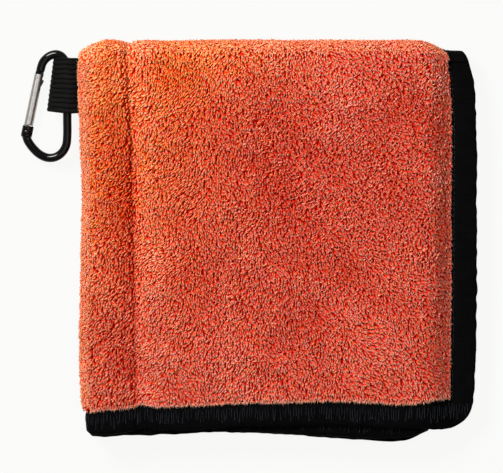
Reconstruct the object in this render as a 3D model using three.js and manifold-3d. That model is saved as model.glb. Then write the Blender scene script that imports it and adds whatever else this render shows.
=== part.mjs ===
// Golf towel, folded as a packet: a two-sided fleece cloth with bound edges, folded in three
// panels across its width and then in half, with a webbing loop sewn to its inner end and a
// small spring-gate carabiner on the loop.
//
// Units are millimetres. +Z is up through the packet, which lies on its back half. +X runs
// along the panels, from the carabiner towards the bound outer end. +Y runs from the open
// lower edges to the half fold at the top. The origin is the middle of the base of the whole
// object's box.
import * as THREE from "three";
import { mergeVertices } from "three/addons/utils/BufferGeometryUtils.js";
import Module from "manifold-3d";

const wasm = await Module();
wasm.setup();

// ---------------------------------------------------------------- driving dimensions
// cloth and folds
const LAYER = 3.1; // one layer of fleece, pile included
const PITCH = 3.5; // one layer to the next in the stack
const STACK = 6 * PITCH; // six layers: the packet's thickness
const MID_Z = STACK / 2; // plane between the two halves
const TOP_Y = 101.8; // outside of the half fold
const FOLD_R = STACK / 2; // outer radius of the half fold
const HINGE_Y = TOP_Y - FOLD_R; // line that the front half opens about
const LEFT_X = -85.1; // outside of the left folds
const RIGHT_FOLD_X = 92.0; // outside of the inner right folds
const END_Z = 10.5; // height that the front half's bound outer end sinks to
const CLOTH_R = 103.3; // where the outer panel's cloth meets its end binding
const INNER_EDGE_X = -54.0; // bound end of the inner panel
const LOWER_Y_C = -94.0; // bound lower edge of the outer panels
const LOWER_Y_B = -98.0; // bound lower edge of the middle panels
const LOWER_Y_A = -101.6; // bound lower edge of the inner panels
// binding tape
const BIND_W = 12.0; // visible width
const BIND_T = 2.3; // over both faces
const TAPE_T = 0.5; // the tape itself
const TONGUE_T = 0.7; // cloth pressed flat inside the tape
const RIGHT_X = 116.0; // outside of the end binding
const THREAD = 0.34; // raised run of the sewing thread
// webbing
const WEB_W = 26.2; // width
const WEB_T = 1.1; // thickness of one layer
const WEB_TOP_Y = 91.0;
const WEB_BEND_X = -84.6; // where the loop flexes at the towel's edge
const WEB_SEWN_X = -40.5; // inner end of the sewn tail
// carabiner
const ROD_D = 4.4;
const SPINE_X = -92.3;
const SPINE_Z = 7.12;
const TILT = 11.0; // degrees: spine side up on the webbing, gate side on the surface
const BARREL_D = 5.9;
const BARREL_L = 6.2;
const GATE_D = 4.6;
const GATE_LEAN = 12.0; // degrees from the spine's direction
const GATE_L = 30.0; // pivot to tip
const CHEEK_GAP = 3.0; // slot in the hinge barrel
const TONGUE_GATE = 2.3; // gate's flat hinge tongue
const NOSE_T = 1.6; // flat nose that the gate closes on
const NOSE_SLOT = 2.3; // slot in the gate's tip
const RIVET_D = 1.4;
const PIN_D = 1.1;
const CLEAR = 0.3;

// ---------------------------------------------------------------- materials
const paint = (color, roughness, metalness) =>
  new THREE.MeshStandardMaterial({ color, roughness, metalness });
const FLEECE = () => paint(0xe8603a, 0.95, 0);
const BINDING = () => paint(0x08090b, 0.85, 0);
const THREADS = () => paint(0x101114, 0.7, 0);
const WEBBING = () => paint(0x0c0c0e, 0.8, 0);
const ANODISED = () => paint(0x060607, 0.25, 0.6);
const STEEL = () => paint(0xb9b2ad, 0.3, 1);

// ---------------------------------------------------------------- helpers
const rad = THREE.MathUtils.degToRad;

function cleaned(geometry) {
  const g = geometry.clone();
  for (const key of Object.keys(g.attributes))
    if (key !== "position") g.deleteAttribute(key);
  const m = mergeVertices(g, 1e-4);
  const p = m.attributes.position.array;
  const index = m.index.array;
  let volume = 0;
  for (let i = 0; i < index.length; i += 3) {
    const [a, b, c] = [index[i] * 3, index[i + 1] * 3, index[i + 2] * 3];
    volume +=
      p[a] * (p[b + 1] * p[c + 2] - p[b + 2] * p[c + 1]) -
      p[a + 1] * (p[b] * p[c + 2] - p[b + 2] * p[c]) +
      p[a + 2] * (p[b] * p[c + 1] - p[b + 1] * p[c]);
  }
  if (volume < 0)
    for (let i = 0; i < index.length; i += 3)
      [index[i + 1], index[i + 2]] = [index[i + 2], index[i + 1]];
  return m;
}

function solid(geometry) {
  const m = cleaned(geometry);
  return new wasm.Manifold(
    new wasm.Mesh({
      numProp: 3,
      vertProperties: new Float32Array(m.attributes.position.array),
      triVerts: new Uint32Array(m.index.array),
    }),
  );
}

const joined = (list) => list.reduce((a, b) => a.add(b));

function geometryOf(s) {
  const m = s.getMesh();
  const v = new Float32Array(m.numVert * 3);
  for (let i = 0; i < m.numVert; i++)
    v.set(m.vertProperties.subarray(i * m.numProp, i * m.numProp + 3), i * 3);
  return new THREE.BufferGeometry()
    .setAttribute("position", new THREE.BufferAttribute(v, 3))
    .setIndex(new THREE.BufferAttribute(new Uint32Array(m.triVerts), 1));
}

function piece(name, shape, material) {
  const g = shape instanceof THREE.BufferGeometry ? cleaned(shape) : geometryOf(shape);
  const mesh = new THREE.Mesh(g, material);
  mesh.name = name;
  return mesh;
}

const box = (x0, x1, y0, y1, z0, z1) =>
  new THREE.BoxGeometry(x1 - x0, y1 - y0, z1 - z0).translate(
    (x0 + x1) / 2,
    (y0 + y1) / 2,
    (z0 + z1) / 2,
  );

// The two long sides of a strip of thickness t whose middle follows the points [x, z].
function stripSides(points, t) {
  const n = points.length;
  const left = [];
  const right = [];
  const run = [];
  for (let i = 0; i < n; i++) {
    const a = points[Math.max(i - 1, 0)];
    const b = points[Math.min(i + 1, n - 1)];
    const p = points[i];
    const d0 = i > 0 ? norm(p[0] - a[0], p[1] - a[1]) : norm(b[0] - p[0], b[1] - p[1]);
    const d1 = i < n - 1 ? norm(b[0] - p[0], b[1] - p[1]) : d0;
    const m = norm(d0[0] + d1[0], d0[1] + d1[1]);
    const k = t / 2 / Math.max(m[0] * d0[0] + m[1] * d0[1], 0.5);
    left.push(new THREE.Vector2(p[0] - m[1] * k, p[1] + m[0] * k));
    right.push(new THREE.Vector2(p[0] + m[1] * k, p[1] - m[0] * k));
    run.push(new THREE.Vector2(m[0], m[1]));
  }
  return { left, right, run };
}
// The closed shape of that strip from point i0 to i1, drawn out a little past either end.
function stripShape(points, t, i0 = 0, i1 = points.length - 1, behind = 0, ahead = 0) {
  const { left, right, run } = stripSides(points, t);
  const side = (list) => {
    const part = list.slice(i0, i1 + 1).map((v) => v.clone());
    if (behind) part.unshift(list[i0].clone().addScaledVector(run[i0], -behind));
    if (ahead) part.push(list[i1].clone().addScaledVector(run[i1], ahead));
    return part;
  };
  return new THREE.Shape([...side(left), ...side(right).reverse()]);
}
function norm(x, y) {
  const l = Math.hypot(x, y);
  return [x / l, y / l];
}

// A shape in X and Z, from y0 up to y1.
function alongY(shape, y0, y1) {
  return new THREE.ExtrudeGeometry(shape, { depth: y1 - y0, bevelEnabled: false, curveSegments: 10 })
    .rotateX(Math.PI / 2)
    .translate(0, y1, 0);
}
// A shape in X and Y, from z0 up to z1.
function alongZ(shape, z0, z1) {
  return new THREE.ExtrudeGeometry(shape, { depth: z1 - z0, bevelEnabled: false, curveSegments: 10 })
    .translate(0, 0, z0);
}
// A shape in Y and Z, from x0 to x1.
function alongX(shape, x0, x1) {
  return new THREE.ExtrudeGeometry(shape, { depth: x1 - x0, bevelEnabled: false, curveSegments: 10 })
    .rotateY(Math.PI / 2)
    .rotateX(Math.PI / 2)
    .translate(x0, 0, 0);
}

// A body through convex sections [[y, z], ...] at successive x.
function loftX(slices) {
  const n = slices[0][1].length;
  const v = slices.flatMap(([x, points]) => points.flatMap(([y, z]) => [x, y, z]));
  const index = [];
  for (let i = 0; i + 1 < slices.length; i++)
    for (let j = 0; j < n; j++) {
      const [a, b, c, d] = [i * n + j, i * n + ((j + 1) % n), (i + 1) * n + ((j + 1) % n), (i + 1) * n + j];
      index.push(a, b, c, a, c, d);
    }
  const last = (slices.length - 1) * n;
  for (let j = 1; j + 1 < n; j++) index.push(0, j + 1, j, last, last + j, last + j + 1);
  return new THREE.BufferGeometry()
    .setAttribute("position", new THREE.Float32BufferAttribute(v, 3))
    .setIndex(index);
}

function arc(cx, cz, r, from, to, steps) {
  const points = [];
  for (let i = 0; i <= steps; i++) {
    const a = rad(from + ((to - from) * i) / steps);
    points.push([cx + r * Math.cos(a), cz + r * Math.sin(a)]);
  }
  return points;
}

// A round rod along a curve.
function rod(points, diameter, steps, sides) {
  const curve = new THREE.CatmullRomCurve3(points.map((p) => new THREE.Vector3(...p)), false, "centripetal");
  const section = new THREE.Shape();
  for (let i = 0; i < sides; i++) {
    const a = (2 * Math.PI * i) / sides;
    section[i ? "lineTo" : "moveTo"]((diameter / 2) * Math.cos(a), (diameter / 2) * Math.sin(a));
  }
  section.closePath();
  return new THREE.ExtrudeGeometry(section, { steps, bevelEnabled: false, extrudePath: curve });
}

// Outline that rounds the bound outer end off where it turns over the half fold.
function endOutline(d) {
  const s = new THREE.Shape();
  s.moveTo(60, -130);
  s.lineTo(RIGHT_X - d, -130);
  s.lineTo(RIGHT_X - d, 82);
  s.bezierCurveTo(RIGHT_X - d, 91 - d, RIGHT_X - 3.5, 95.6 - d, RIGHT_X - 9, 96.9 - d);
  s.lineTo(60, 100 - d);
  return s;
}

// Rounded outline of the packet in X and Y, which trims the corners of its layers.
function packetOutline(x0, x1, y0, y1, rTopLeft, rLow) {
  const s = new THREE.Shape();
  s.moveTo(x0 + rLow, y0);
  s.lineTo(x1 - rLow, y0);
  s.quadraticCurveTo(x1, y0, x1, y0 + rLow);
  s.lineTo(x1, y1 - 3);
  s.quadraticCurveTo(x1, y1, x1 - 6, y1);
  s.lineTo(x0 + rTopLeft * 1.7, y1);
  s.quadraticCurveTo(x0, y1, x0, y1 - rTopLeft);
  s.lineTo(x0, y0 + rLow);
  s.quadraticCurveTo(x0, y0, x0 + rLow, y0);
  return s;
}

// ---------------------------------------------------------------- the folded cloth
// Middles of the layers. The left folds swell into the room that the shorter inner panels
// leave, and the front half dips where those panels end.
const zBack = { C: LAYER / 2, B: LAYER / 2 + PITCH, A: LAYER / 2 + 2 * PITCH };
const zFront = {
  A: STACK - LAYER / 2 - 2 * PITCH,
  B: STACK - LAYER / 2 - PITCH,
  C: STACK - LAYER / 2,
};
const foldX = LEFT_X + LAYER / 2;

function backPath(from, inset = 0) {
  const r = 2.95;
  const cx = foldX + r + inset;
  return [
    [from, zBack.C],
    [-60, zBack.C],
    ...arc(cx, zBack.C + r, r, 270, 90, 10),
    [-71, zBack.C + 2 * r - 0.6],
    [-61, zBack.B + 0.4],
    [-52, zBack.B],
  ];
}
function frontPath(from, inset = 0) {
  const r = 2.75;
  const cx = foldX + r + inset;
  const low = 12.05 + LAYER / 2;
  return [
    [from, END_Z],
    [102.4, END_Z],
    [99.8, END_Z + 1.6],
    [97.0, END_Z + 4.1],
    [93.8, zFront.C - 2.0],
    [90.2, zFront.C - 0.3],
    [83.0, zFront.C],
    [-45, zFront.C],
    [-53.5, zFront.C - 0.45],
    [-56.5, zFront.C - 1.3],
    [-59.8, low + PITCH + 0.2],
    [-66, low + 2 * r - 0.5],
    [-73, low + 2 * r],
    ...arc(cx, low + r, r, 90, 270, 10),
    [-60.4, low],
    [-56.9, low + 1.0],
    [-53.4, zFront.B - 0.42],
    [-46, zFront.B],
  ];
}
const innerFold = (zb, za, inset = 0) => {
  const r = PITCH / 2;
  const cx = RIGHT_FOLD_X - LAYER / 2 - r - inset;
  return za > zb
    ? arc(cx, (za + zb) / 2, r, -90, 90, 8)
    : arc(cx, (za + zb) / 2, r, 90, -90, 8);
};

// One half: outer panel, left fold, middle panel, right fold, inner panel, each down to its
// own lower edge plus lift and up to y1 (a height, or a height above its own lower edge when
// own is true). t is the strip's thickness. ahead and behind say which way neighbouring
// stretches overlap where they join.
function half(side, t, { y1, own = false, lift = 0, outerEnd, innerEnd, inset = 0, ahead = 0, behind = 0 }) {
  const path = side === "back" ? backPath(outerEnd, inset) : frontPath(outerEnd, inset);
  const z = side === "back" ? zBack : zFront;
  const turn = innerFold(z.B, z.A, inset);
  const points = [...path, ...turn, [innerEnd, z.A]];
  const left = path.findIndex((p, i) => i > 1 && Math.abs(p[0] - (foldX + inset)) < 0.02);
  const right = path.length + 4;
  const cuts = [0, left, right, points.length - 1];
  return joined(
    [LOWER_Y_C, LOWER_Y_B, LOWER_Y_A].map((y, i) =>
      solid(
        alongY(
          stripShape(points, t, cuts[i], cuts[i + 1], i > 0 ? behind : 0, i < 2 ? ahead : 0),
          y + lift,
          own ? y + y1 : y1,
        ),
      ),
    ),
  );
}

const trim = solid(alongZ(packetOutline(LEFT_X - 1, 140, -130, TOP_Y, 9, 5), -5, STACK + 5));
const tailPocket = solid(
  box(-70, WEB_SEWN_X + 0.6, WEB_TOP_Y - WEB_W - 0.6, WEB_TOP_Y + 0.6, MID_Z - WEB_T - 0.4, MID_Z + WEB_T + 0.9),
);
// The outer panels' free corner is rounded; d is how far inside the tape's outside it lies.
function rounded(s, d) {
  const corner = solid(
    alongZ(packetOutline(-120, RIGHT_X - d, LOWER_Y_C + d, 120, 0.01, 9 - d * 0.6), -5, STACK + 5),
  );
  return s.intersect(corner.add(solid(box(-300, RIGHT_FOLD_X + 1, -130, 119, -5, STACK + 5))));
}

const bindInset = 2.4; // the tape's folds sit inside the pile's
const TAPE_H = BIND_W - 1.0;
function fleeceHalf(side) {
  const y1 = HINGE_Y - 0.15;
  const body = half(side, LAYER, {
    y1,
    lift: BIND_W - 0.6,
    outerEnd: CLOTH_R,
    innerEnd: INNER_EDGE_X + BIND_W,
    ahead: 0.2,
  });
  const tongue = half(side, TONGUE_T, {
    y1,
    lift: TAPE_T + CLEAR + 0.2,
    outerEnd: RIGHT_X - TAPE_T - CLEAR,
    innerEnd: INNER_EDGE_X + TAPE_T + CLEAR,
    inset: bindInset,
    ahead: 0.2,
  });
  const inEnd = solid(alongZ(endOutline(TAPE_T + CLEAR), -5, STACK + 5)).add(
    solid(box(-200, CLOTH_R - 2, -130, 120, -5, STACK + 5)),
  );
  return body
    .add(rounded(tongue, TAPE_T + CLEAR + 0.2).intersect(inEnd))
    .subtract(tailPocket)
    .intersect(trim);
}
function lowerBinding(side) {
  const shell = half(side, BIND_T, {
    y1: TAPE_H,
    own: true,
    outerEnd: RIGHT_X,
    innerEnd: INNER_EDGE_X,
    inset: bindInset,
    behind: 0.2,
  });
  const hollow = half(side, BIND_T - 2 * TAPE_T, {
    y1: 60,
    lift: TAPE_T,
    outerEnd: RIGHT_X - TAPE_T,
    innerEnd: INNER_EDGE_X + TAPE_T,
    inset: bindInset,
    ahead: 0.5,
    behind: 0.5,
  });
  return rounded(shell, 0).subtract(rounded(hollow, TAPE_T));
}
// Tape over a straight edge that runs along Y: a channel open towards the cloth.
function edgeTape(xOut, xIn, z, y0, y1, trims) {
  const dir = Math.sign(xIn - xOut);
  const [a, b] = dir > 0 ? [xOut, xIn] : [xIn, xOut];
  let shell = solid(box(a, b, y0, y1, z - BIND_T / 2, z + BIND_T / 2));
  let hollow = solid(
    dir > 0
      ? box(a + TAPE_T, b + 5, y0 - 1, y1 + 1, z - BIND_T / 2 + TAPE_T, z + BIND_T / 2 - TAPE_T)
      : box(a - 5, b - TAPE_T, y0 - 1, y1 + 1, z - BIND_T / 2 + TAPE_T, z + BIND_T / 2 - TAPE_T),
  );
  if (trims) {
    shell = shell.intersect(trims[0]);
    hollow = hollow.intersect(trims[1]);
  }
  return shell.subtract(hollow);
}
const endTrims = [0, TAPE_T].map((d) => solid(alongZ(endOutline(d), -5, STACK + 5)));

const endTapeIn = CLOTH_R + CLEAR;
const endY0 = LOWER_Y_C + BIND_W - 1.0 + CLEAR;
const towelBack = new THREE.Group();
const towelFront = new THREE.Group();

towelBack.add(piece("fleece_back_half", fleeceHalf("back"), FLEECE()));
towelFront.add(piece("fleece_front_half", fleeceHalf("front"), FLEECE()));

// the cloth's turn round the half fold, lower where only the outer panel goes round, and the
// end tape's turn with it
const turnSection = (r, z, from = -90, to = 90, n = 16) =>
  Array.from({ length: n + 1 }, (_, i) => {
    const a = rad(from + ((to - from) * i) / n);
    return [HINGE_Y + 0.15 + (r - 0.15) * Math.cos(a), z + r * Math.sin(a)];
  });
const topAt = [
  [LEFT_X + 0.4, STACK],
  [83, STACK],
  [90.2, STACK - 0.3],
  [93.8, STACK - 2.0],
  [97.0, END_Z + 4.1 + LAYER / 2 + 0.2],
  [99.8, END_Z + 1.6 + LAYER / 2 + 0.1],
  [CLOTH_R, END_Z + LAYER / 2 + 0.05],
];
const turnCloth = solid(loftX(topAt.map(([x, top]) => [x, turnSection(top / 2, top / 2)])))
  .subtract(solid(box(-140, -38, HINGE_Y - 5, 95, MID_Z - 3.5, MID_Z + 3.1)))
  .intersect(trim);
towelBack.add(piece("fleece_top_fold", turnCloth, FLEECE()));
const turnZ = (END_Z + zBack.C) / 2;
const turnR = (END_Z - zBack.C) / 2;
const ring = (r0, r1) =>
  new THREE.Shape(
    [...turnSection(r1, turnZ), ...turnSection(r0, turnZ).reverse()].map((p) => new THREE.Vector2(...p)),
  );
const turnTape = solid(alongX(ring(turnR - BIND_T / 2, turnR + BIND_T / 2), CLOTH_R + CLEAR, RIGHT_X))
  .intersect(endTrims[0])
  .subtract(
    solid(
      alongX(
        ring(turnR - BIND_T / 2 + TAPE_T, turnR + BIND_T / 2 - TAPE_T),
        CLOTH_R + CLEAR - 3,
        RIGHT_X,
      ),
    ).intersect(endTrims[1]),
  );
towelBack.add(piece("end_binding_top_fold", turnTape, BINDING()));

towelBack.add(
  piece(
    "end_binding_back",
    edgeTape(RIGHT_X, endTapeIn, zBack.C, endY0, HINGE_Y - 0.15, endTrims),
    BINDING(),
  ),
);
towelFront.add(
  piece(
    "end_binding_front",
    edgeTape(RIGHT_X, endTapeIn, END_Z, endY0, HINGE_Y - 0.15, endTrims),
    BINDING(),
  ),
);
const loopEndIn = INNER_EDGE_X + BIND_W - CLEAR;
const loopY0 = LOWER_Y_A + BIND_W - 1.0 + CLEAR;
towelBack.add(
  piece(
    "loop_end_binding_back",
    edgeTape(INNER_EDGE_X, loopEndIn, zBack.A, loopY0, HINGE_Y - 0.15).subtract(tailPocket),
    BINDING(),
  ),
);
towelFront.add(
  piece(
    "loop_end_binding_front",
    edgeTape(INNER_EDGE_X, loopEndIn, zFront.A, loopY0, HINGE_Y - 0.15).subtract(tailPocket),
    BINDING(),
  ),
);
towelBack.add(piece("lower_binding_back", lowerBinding("back"), BINDING()));
towelFront.add(piece("lower_binding_front", lowerBinding("front"), BINDING()));

// sewing threads, as the raised run on the outer face of each tape
const seamX = endTapeIn + 1.7;
const seamFace = (z, up) => (up ? z + BIND_T / 2 + 0.06 : z - BIND_T / 2 - 0.06 - THREAD);
function seamAlongY(x, z, up, y0, y1) {
  const z0 = seamFace(z, up);
  return box(x - 0.3, x + 0.3, y0, y1, z0, z0 + THREAD);
}
function seamAlongX(y, z, up, x0, x1) {
  const z0 = seamFace(z, up);
  return box(x0, x1, y - 0.3, y + 0.3, z0, z0 + THREAD);
}
const seamY = LOWER_Y_C + BIND_W - 1.0 - 1.5;
towelFront.add(
  piece("end_seam_thread_front", seamAlongY(seamX, END_Z, true, endY0 + 0.3, HINGE_Y - 0.4), THREADS()),
  piece("lower_seam_thread_front", seamAlongX(seamY, zFront.C, true, -40, 78), THREADS()),
);
towelBack.add(
  piece("end_seam_thread_back", seamAlongY(seamX, zBack.C, false, endY0 + 0.3, HINGE_Y - 0.4), THREADS()),
  piece("lower_seam_thread_back", seamAlongX(seamY, zBack.C, false, -72, RIGHT_X - 5), THREADS()),
);
const loopSeamX = loopEndIn - 1.7;
towelBack.add(
  piece(
    "loop_end_seam_thread_back",
    seamAlongY(loopSeamX, zBack.A, true, loopY0 + 0.3, WEB_TOP_Y - WEB_W - 1.2),
    THREADS(),
  ),
);
towelFront.add(
  piece(
    "loop_end_seam_thread_front",
    seamAlongY(loopSeamX, zFront.A, false, loopY0 + 0.3, WEB_TOP_Y - WEB_W - 1.2),
    THREADS(),
  ),
);

// ---------------------------------------------------------------- webbing
// the sewn tail: both ends of the strip, one on the other, on the inner panel's bound end
const webY0 = WEB_TOP_Y - WEB_W;
const tailX0 = WEB_BEND_X + 1.1;
towelBack.add(
  piece(
    "webbing_tail",
    box(tailX0, WEB_SEWN_X, webY0, WEB_TOP_Y, MID_Z - WEB_T - 0.05, MID_Z + WEB_T + 0.05),
    WEBBING(),
  ),
);
// box stitch with a cross, holding the tail to the bound end
{
  const x0 = INNER_EDGE_X + 1.2, x1 = WEB_SEWN_X - 1.5;
  const y0 = webY0 + 2.5, y1 = WEB_TOP_Y - 2.5;
  const z0 = MID_Z + WEB_T + 0.12, z1 = z0 + THREAD;
  const w = 0.35;
  const diagonal = (flip) => {
    const len = Math.hypot(x1 - x0, y1 - y0) - 0.4;
    const a = Math.atan2(y1 - y0, x1 - x0) * (flip ? -1 : 1);
    return solid(
      new THREE.BoxGeometry(len, 2 * w, z1 - z0)
        .rotateZ(a)
        .translate((x0 + x1) / 2, (y0 + y1) / 2, (z0 + z1) / 2),
    );
  };
  const frame = solid(box(x0 - w, x1 + w, y0 - w, y1 + w, z0, z1)).subtract(
    solid(box(x0 + w, x1 - w, y0 + w, y1 - w, z0 - 1, z1 + 1)),
  );
  towelBack.add(
    piece("loop_box_stitch", joined([frame, diagonal(false), diagonal(true)]), THREADS()),
  );
}
// the loop outside the towel: up over the carabiner's spine, round, and back under it
const loop = new THREE.Group();
{
  const top = MID_Z + WEB_T / 2 + 0.05;
  const low = MID_Z - WEB_T / 2 - 0.05;
  const over = SPINE_Z + ROD_D / 2 + 2.35 + WEB_T / 2;
  const under = SPINE_Z - ROD_D / 2 - CLEAR - WEB_T / 2;
  const knots = [
    [WEB_BEND_X, top],
    [-88.4, (top + over) / 2 + 0.35],
    [SPINE_X, over],
    [-96.6, over - 1.3],
    [-100.0, over - 3.9],
    [-100.95, 6.3],
    [-99.6, under + 0.65],
    [-96.2, under],
    [SPINE_X, under],
    [-90.5, under + 0.42],
    [-89.1, under + 1.65],
    [-86.8, low - 1.75],
    [WEB_BEND_X, low],
  ];
  const curve = new THREE.CatmullRomCurve3(knots.map(([x, z]) => new THREE.Vector3(x, 0, z)), false, "centripetal");
  const path = curve.getPoints(44).map((p) => [p.x, p.z]);
  loop.add(piece("webbing_loop", alongY(stripShape(path, WEB_T), webY0, WEB_TOP_Y), WEBBING()));
}

// ---------------------------------------------------------------- carabiner
// Its own frame: u to the right across its width with the spine on u = 0, v along the spine,
// n out of its plane. It is leaned about the spine and set on the spine's place.
const carabiner = new THREE.Group();
carabiner.position.set(SPINE_X, 0, SPINE_Z);
carabiner.rotation.y = -rad(TILT);
const body = new THREE.Group();
const gate = new THREE.Group();
carabiner.add(body, gate);

const PIVOT = [-20.95, 55.6]; // u, v of the hinge rivet
const lean = rad(GATE_LEAN);
const along = [Math.sin(lean), Math.cos(lean)]; // up the gate
const across = [Math.cos(lean), -Math.sin(lean)]; // from the gate towards the spine
const atGate = (s, r, n = 0) => [
  PIVOT[0] + along[0] * s + across[0] * r,
  PIVOT[1] + along[1] * s + across[1] * r,
  n,
];
// Turns a geometry made along +Y about its own origin into the gate's place.
const placedOnGate = (g, s, r = 0) => {
  const p = atGate(s, r);
  return g.rotateZ(-lean).translate(p[0], p[1], 0);
};

{
  const noseTop = atGate(GATE_L + 1.6, 0.2);
  const path = [
    noseTop,
    [-12.55, 91.1, 0],
    [-9.3, 94.1, 0],
    [-5.6, 95.0, 0],
    [-2.9, 93.9, 0],
    [-0.9, 90.9, 0],
    [-0.1, 86.9, 0],
    [0, 81, 0],
    [0, 72, 0],
    [0, 62, 0],
    [0, 53.5, 0],
    [-0.6, 48.6, 0],
    [-2.8, 44.9, 0],
    [-6.2, 42.7, 0],
    [-10.2, 42.4, 0],
    [-14.2, 44.0, 0],
    [-17.9, 47.3, 0],
    [-20.6, 51.1, 0],
    atGate(-2.2, 0),
  ];
  let s = solid(rod(path, ROD_D, 64, 14));
  // hinge barrel with a rounded foot, and the slot for the gate's tongue
  const profile = [
    [0.001, -BARREL_L / 2],
    [BARREL_D / 2 - 0.9, -BARREL_L / 2],
    [BARREL_D / 2 - 0.2, -BARREL_L / 2 + 0.6],
    [BARREL_D / 2, -BARREL_L / 2 + 1.3],
    [BARREL_D / 2, BARREL_L / 2 - 0.3],
    [BARREL_D / 2 - 0.3, BARREL_L / 2],
    [0.001, BARREL_L / 2],
  ];
  profile[0][0] = 0;
  profile[profile.length - 1][0] = 0;
  s = s.add(
    solid(placedOnGate(new THREE.LatheGeometry(profile.map((p) => new THREE.Vector2(...p)), 24), 0)),
  );
  s = s.subtract(
    solid(placedOnGate(new THREE.BoxGeometry(30, 20, CHEEK_GAP), 10 - 2.3)),
  );
  // rivet holes through the cheeks
  s = s.subtract(
    solid(
      new THREE.CylinderGeometry(RIVET_D / 2 + 0.2, RIVET_D / 2 + 0.2, 12, 20)
        .rotateX(Math.PI / 2)
        .translate(PIVOT[0], PIVOT[1], 0),
    ),
  );
  // the rivet's heads sit in flat counterbores
  for (const n of [1, -1])
    s = s.subtract(
      solid(
        new THREE.CylinderGeometry(1.5, 1.5, 2, 20)
          .rotateX(Math.PI / 2)
          .translate(PIVOT[0], PIVOT[1], n * (2.3 + 1)),
      ),
    );
  // flat nose with the hook that the gate's pin closes into
  const nose = new THREE.Shape();
  const n2 = (s0, r0) => {
    const p = atGate(s0, r0);
    return [p[0], p[1]];
  };
  const pinS = GATE_L - 1.7;
  const pinR = -0.35;
  const hook = [
    [GATE_L + 2.6, -1.7],
    [pinS - 1.2, -2.05],
    [pinS - 3.6, -1.5],
    [pinS - 6.2, 0.6],
    [pinS - 5.2, 1.9],
    [pinS - 2.4, 2.9],
    [pinS - 1.0, 3.1],
    [pinS - PIN_D / 2 - CLEAR, 2.7],
    [pinS - PIN_D / 2 - CLEAR, pinR - 0.2],
    [pinS, pinR - PIN_D / 2 - CLEAR],
    [pinS + PIN_D / 2 + CLEAR, pinR - 0.2],
    [pinS + PIN_D / 2 + CLEAR, 2.4],
    [GATE_L + 2.6, 2.0],
  ];
  hook.forEach(([a, b], i) => nose[i ? "lineTo" : "moveTo"](...n2(a, b)));
  nose.closePath();
  s = s.add(solid(alongZ(nose, -NOSE_T / 2, NOSE_T / 2)));
  body.add(piece("carabiner_body", s, ANODISED()));

  // gate: round bar, flat hinge tongue below, slot for the nose above, spring bore inside
  const bar = placedOnGate(
    new THREE.CylinderGeometry(GATE_D / 2, GATE_D / 2, GATE_L - 3.4, 24),
    3.4 + (GATE_L - 3.4) / 2,
  );
  let g = solid(bar);
  // the bar's foot is relieved so that it clears the barrel's mouth as the gate swings in
  for (const deg of [0, 6, 12, 18, 24, 27]) {
    const mouth = new THREE.CylinderGeometry(BARREL_D / 2 + 0.35, BARREL_D / 2 + 0.35, 8, 24)
      .translate(0, BARREL_L / 2 + 0.3 - 4, 0)
      .rotateZ(-lean + rad(deg))
      .translate(PIVOT[0], PIVOT[1], 0);
    g = g.subtract(solid(mouth));
  }
  const tongue = new THREE.Shape();
  tongue.absarc(0, 0, 2.0, Math.PI, 2 * Math.PI, false);
  tongue.lineTo(2.0, 6.2);
  tongue.lineTo(-2.0, 6.2);
  tongue.closePath();
  g = g.add(solid(placedOnGate(alongZ(tongue, -TONGUE_GATE / 2, TONGUE_GATE / 2), 0)));
  g = g.subtract(
    solid(
      new THREE.CylinderGeometry(RIVET_D / 2 + 0.2, RIVET_D / 2 + 0.2, 12, 20)
        .rotateX(Math.PI / 2)
        .translate(PIVOT[0], PIVOT[1], 0),
    ),
  );
  // slot in the tip, open on both sides
  g = g.subtract(
    solid(placedOnGate(new THREE.BoxGeometry(12, 9.4, NOSE_SLOT), GATE_L - 9.4 / 2 + 0.7)),
  );
  // pin holes in the tip's two cheeks
  const pinAt = atGate(pinS, pinR);
  g = g.subtract(
    solid(
      new THREE.CylinderGeometry(PIN_D / 2 + 0.15, PIN_D / 2 + 0.15, 12, 16)
        .rotateX(Math.PI / 2)
        .translate(pinAt[0], pinAt[1], 0),
    ),
  );
  // bore for the spring and its plunger, beside the rivet on the inner side
  const boreR = 1.35;
  g = g.subtract(
    solid(placedOnGate(new THREE.CylinderGeometry(0.82, 0.82, 17, 16), 8.5 - 3.0, boreR)),
  );
  gate.add(piece("gate_bar", g, STEEL()));

  // rivet through both cheeks and the tongue, with domed heads
  const seat = 2.42;
  const rivet = [
    [0, -seat - 0.46],
    [0.65, -seat - 0.4],
    [1.05, -seat - 0.2],
    [1.15, -seat],
    [RIVET_D / 2, -seat],
    [RIVET_D / 2, seat],
    [1.15, seat],
    [1.05, seat + 0.2],
    [0.65, seat + 0.4],
    [0, seat + 0.46],
  ];
  body.add(
    piece(
      "gate_hinge_rivet",
      new THREE.LatheGeometry(rivet.map((p) => new THREE.Vector2(...p)), 20)
        .rotateX(Math.PI / 2)
        .translate(PIVOT[0], PIVOT[1], 0),
      STEEL(),
    ),
  );
  // latch pin across the gate's slot
  gate.add(
    piece(
      "gate_latch_pin",
      new THREE.CylinderGeometry(PIN_D / 2, PIN_D / 2, GATE_D - 0.5, 16)
        .rotateX(Math.PI / 2)
        .translate(pinAt[0], pinAt[1], 0),
      STEEL(),
    ),
  );
  // plunger, pressing on the floor of the barrel's slot
  const plunger = [
    [0, 0],
    [0.3, 0.08],
    [0.5, 0.35],
    [0.5, 4.2],
    [0.34, 4.3],
    [0.34, 5.4],
    [0, 5.45],
  ];
  gate.add(
    piece(
      "gate_plunger",
      placedOnGate(
        new THREE.LatheGeometry(plunger.map((p) => new THREE.Vector2(...p)), 14),
        -2.3 + 0.14,
        boreR,
      ),
      STEEL(),
    ),
  );
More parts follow.
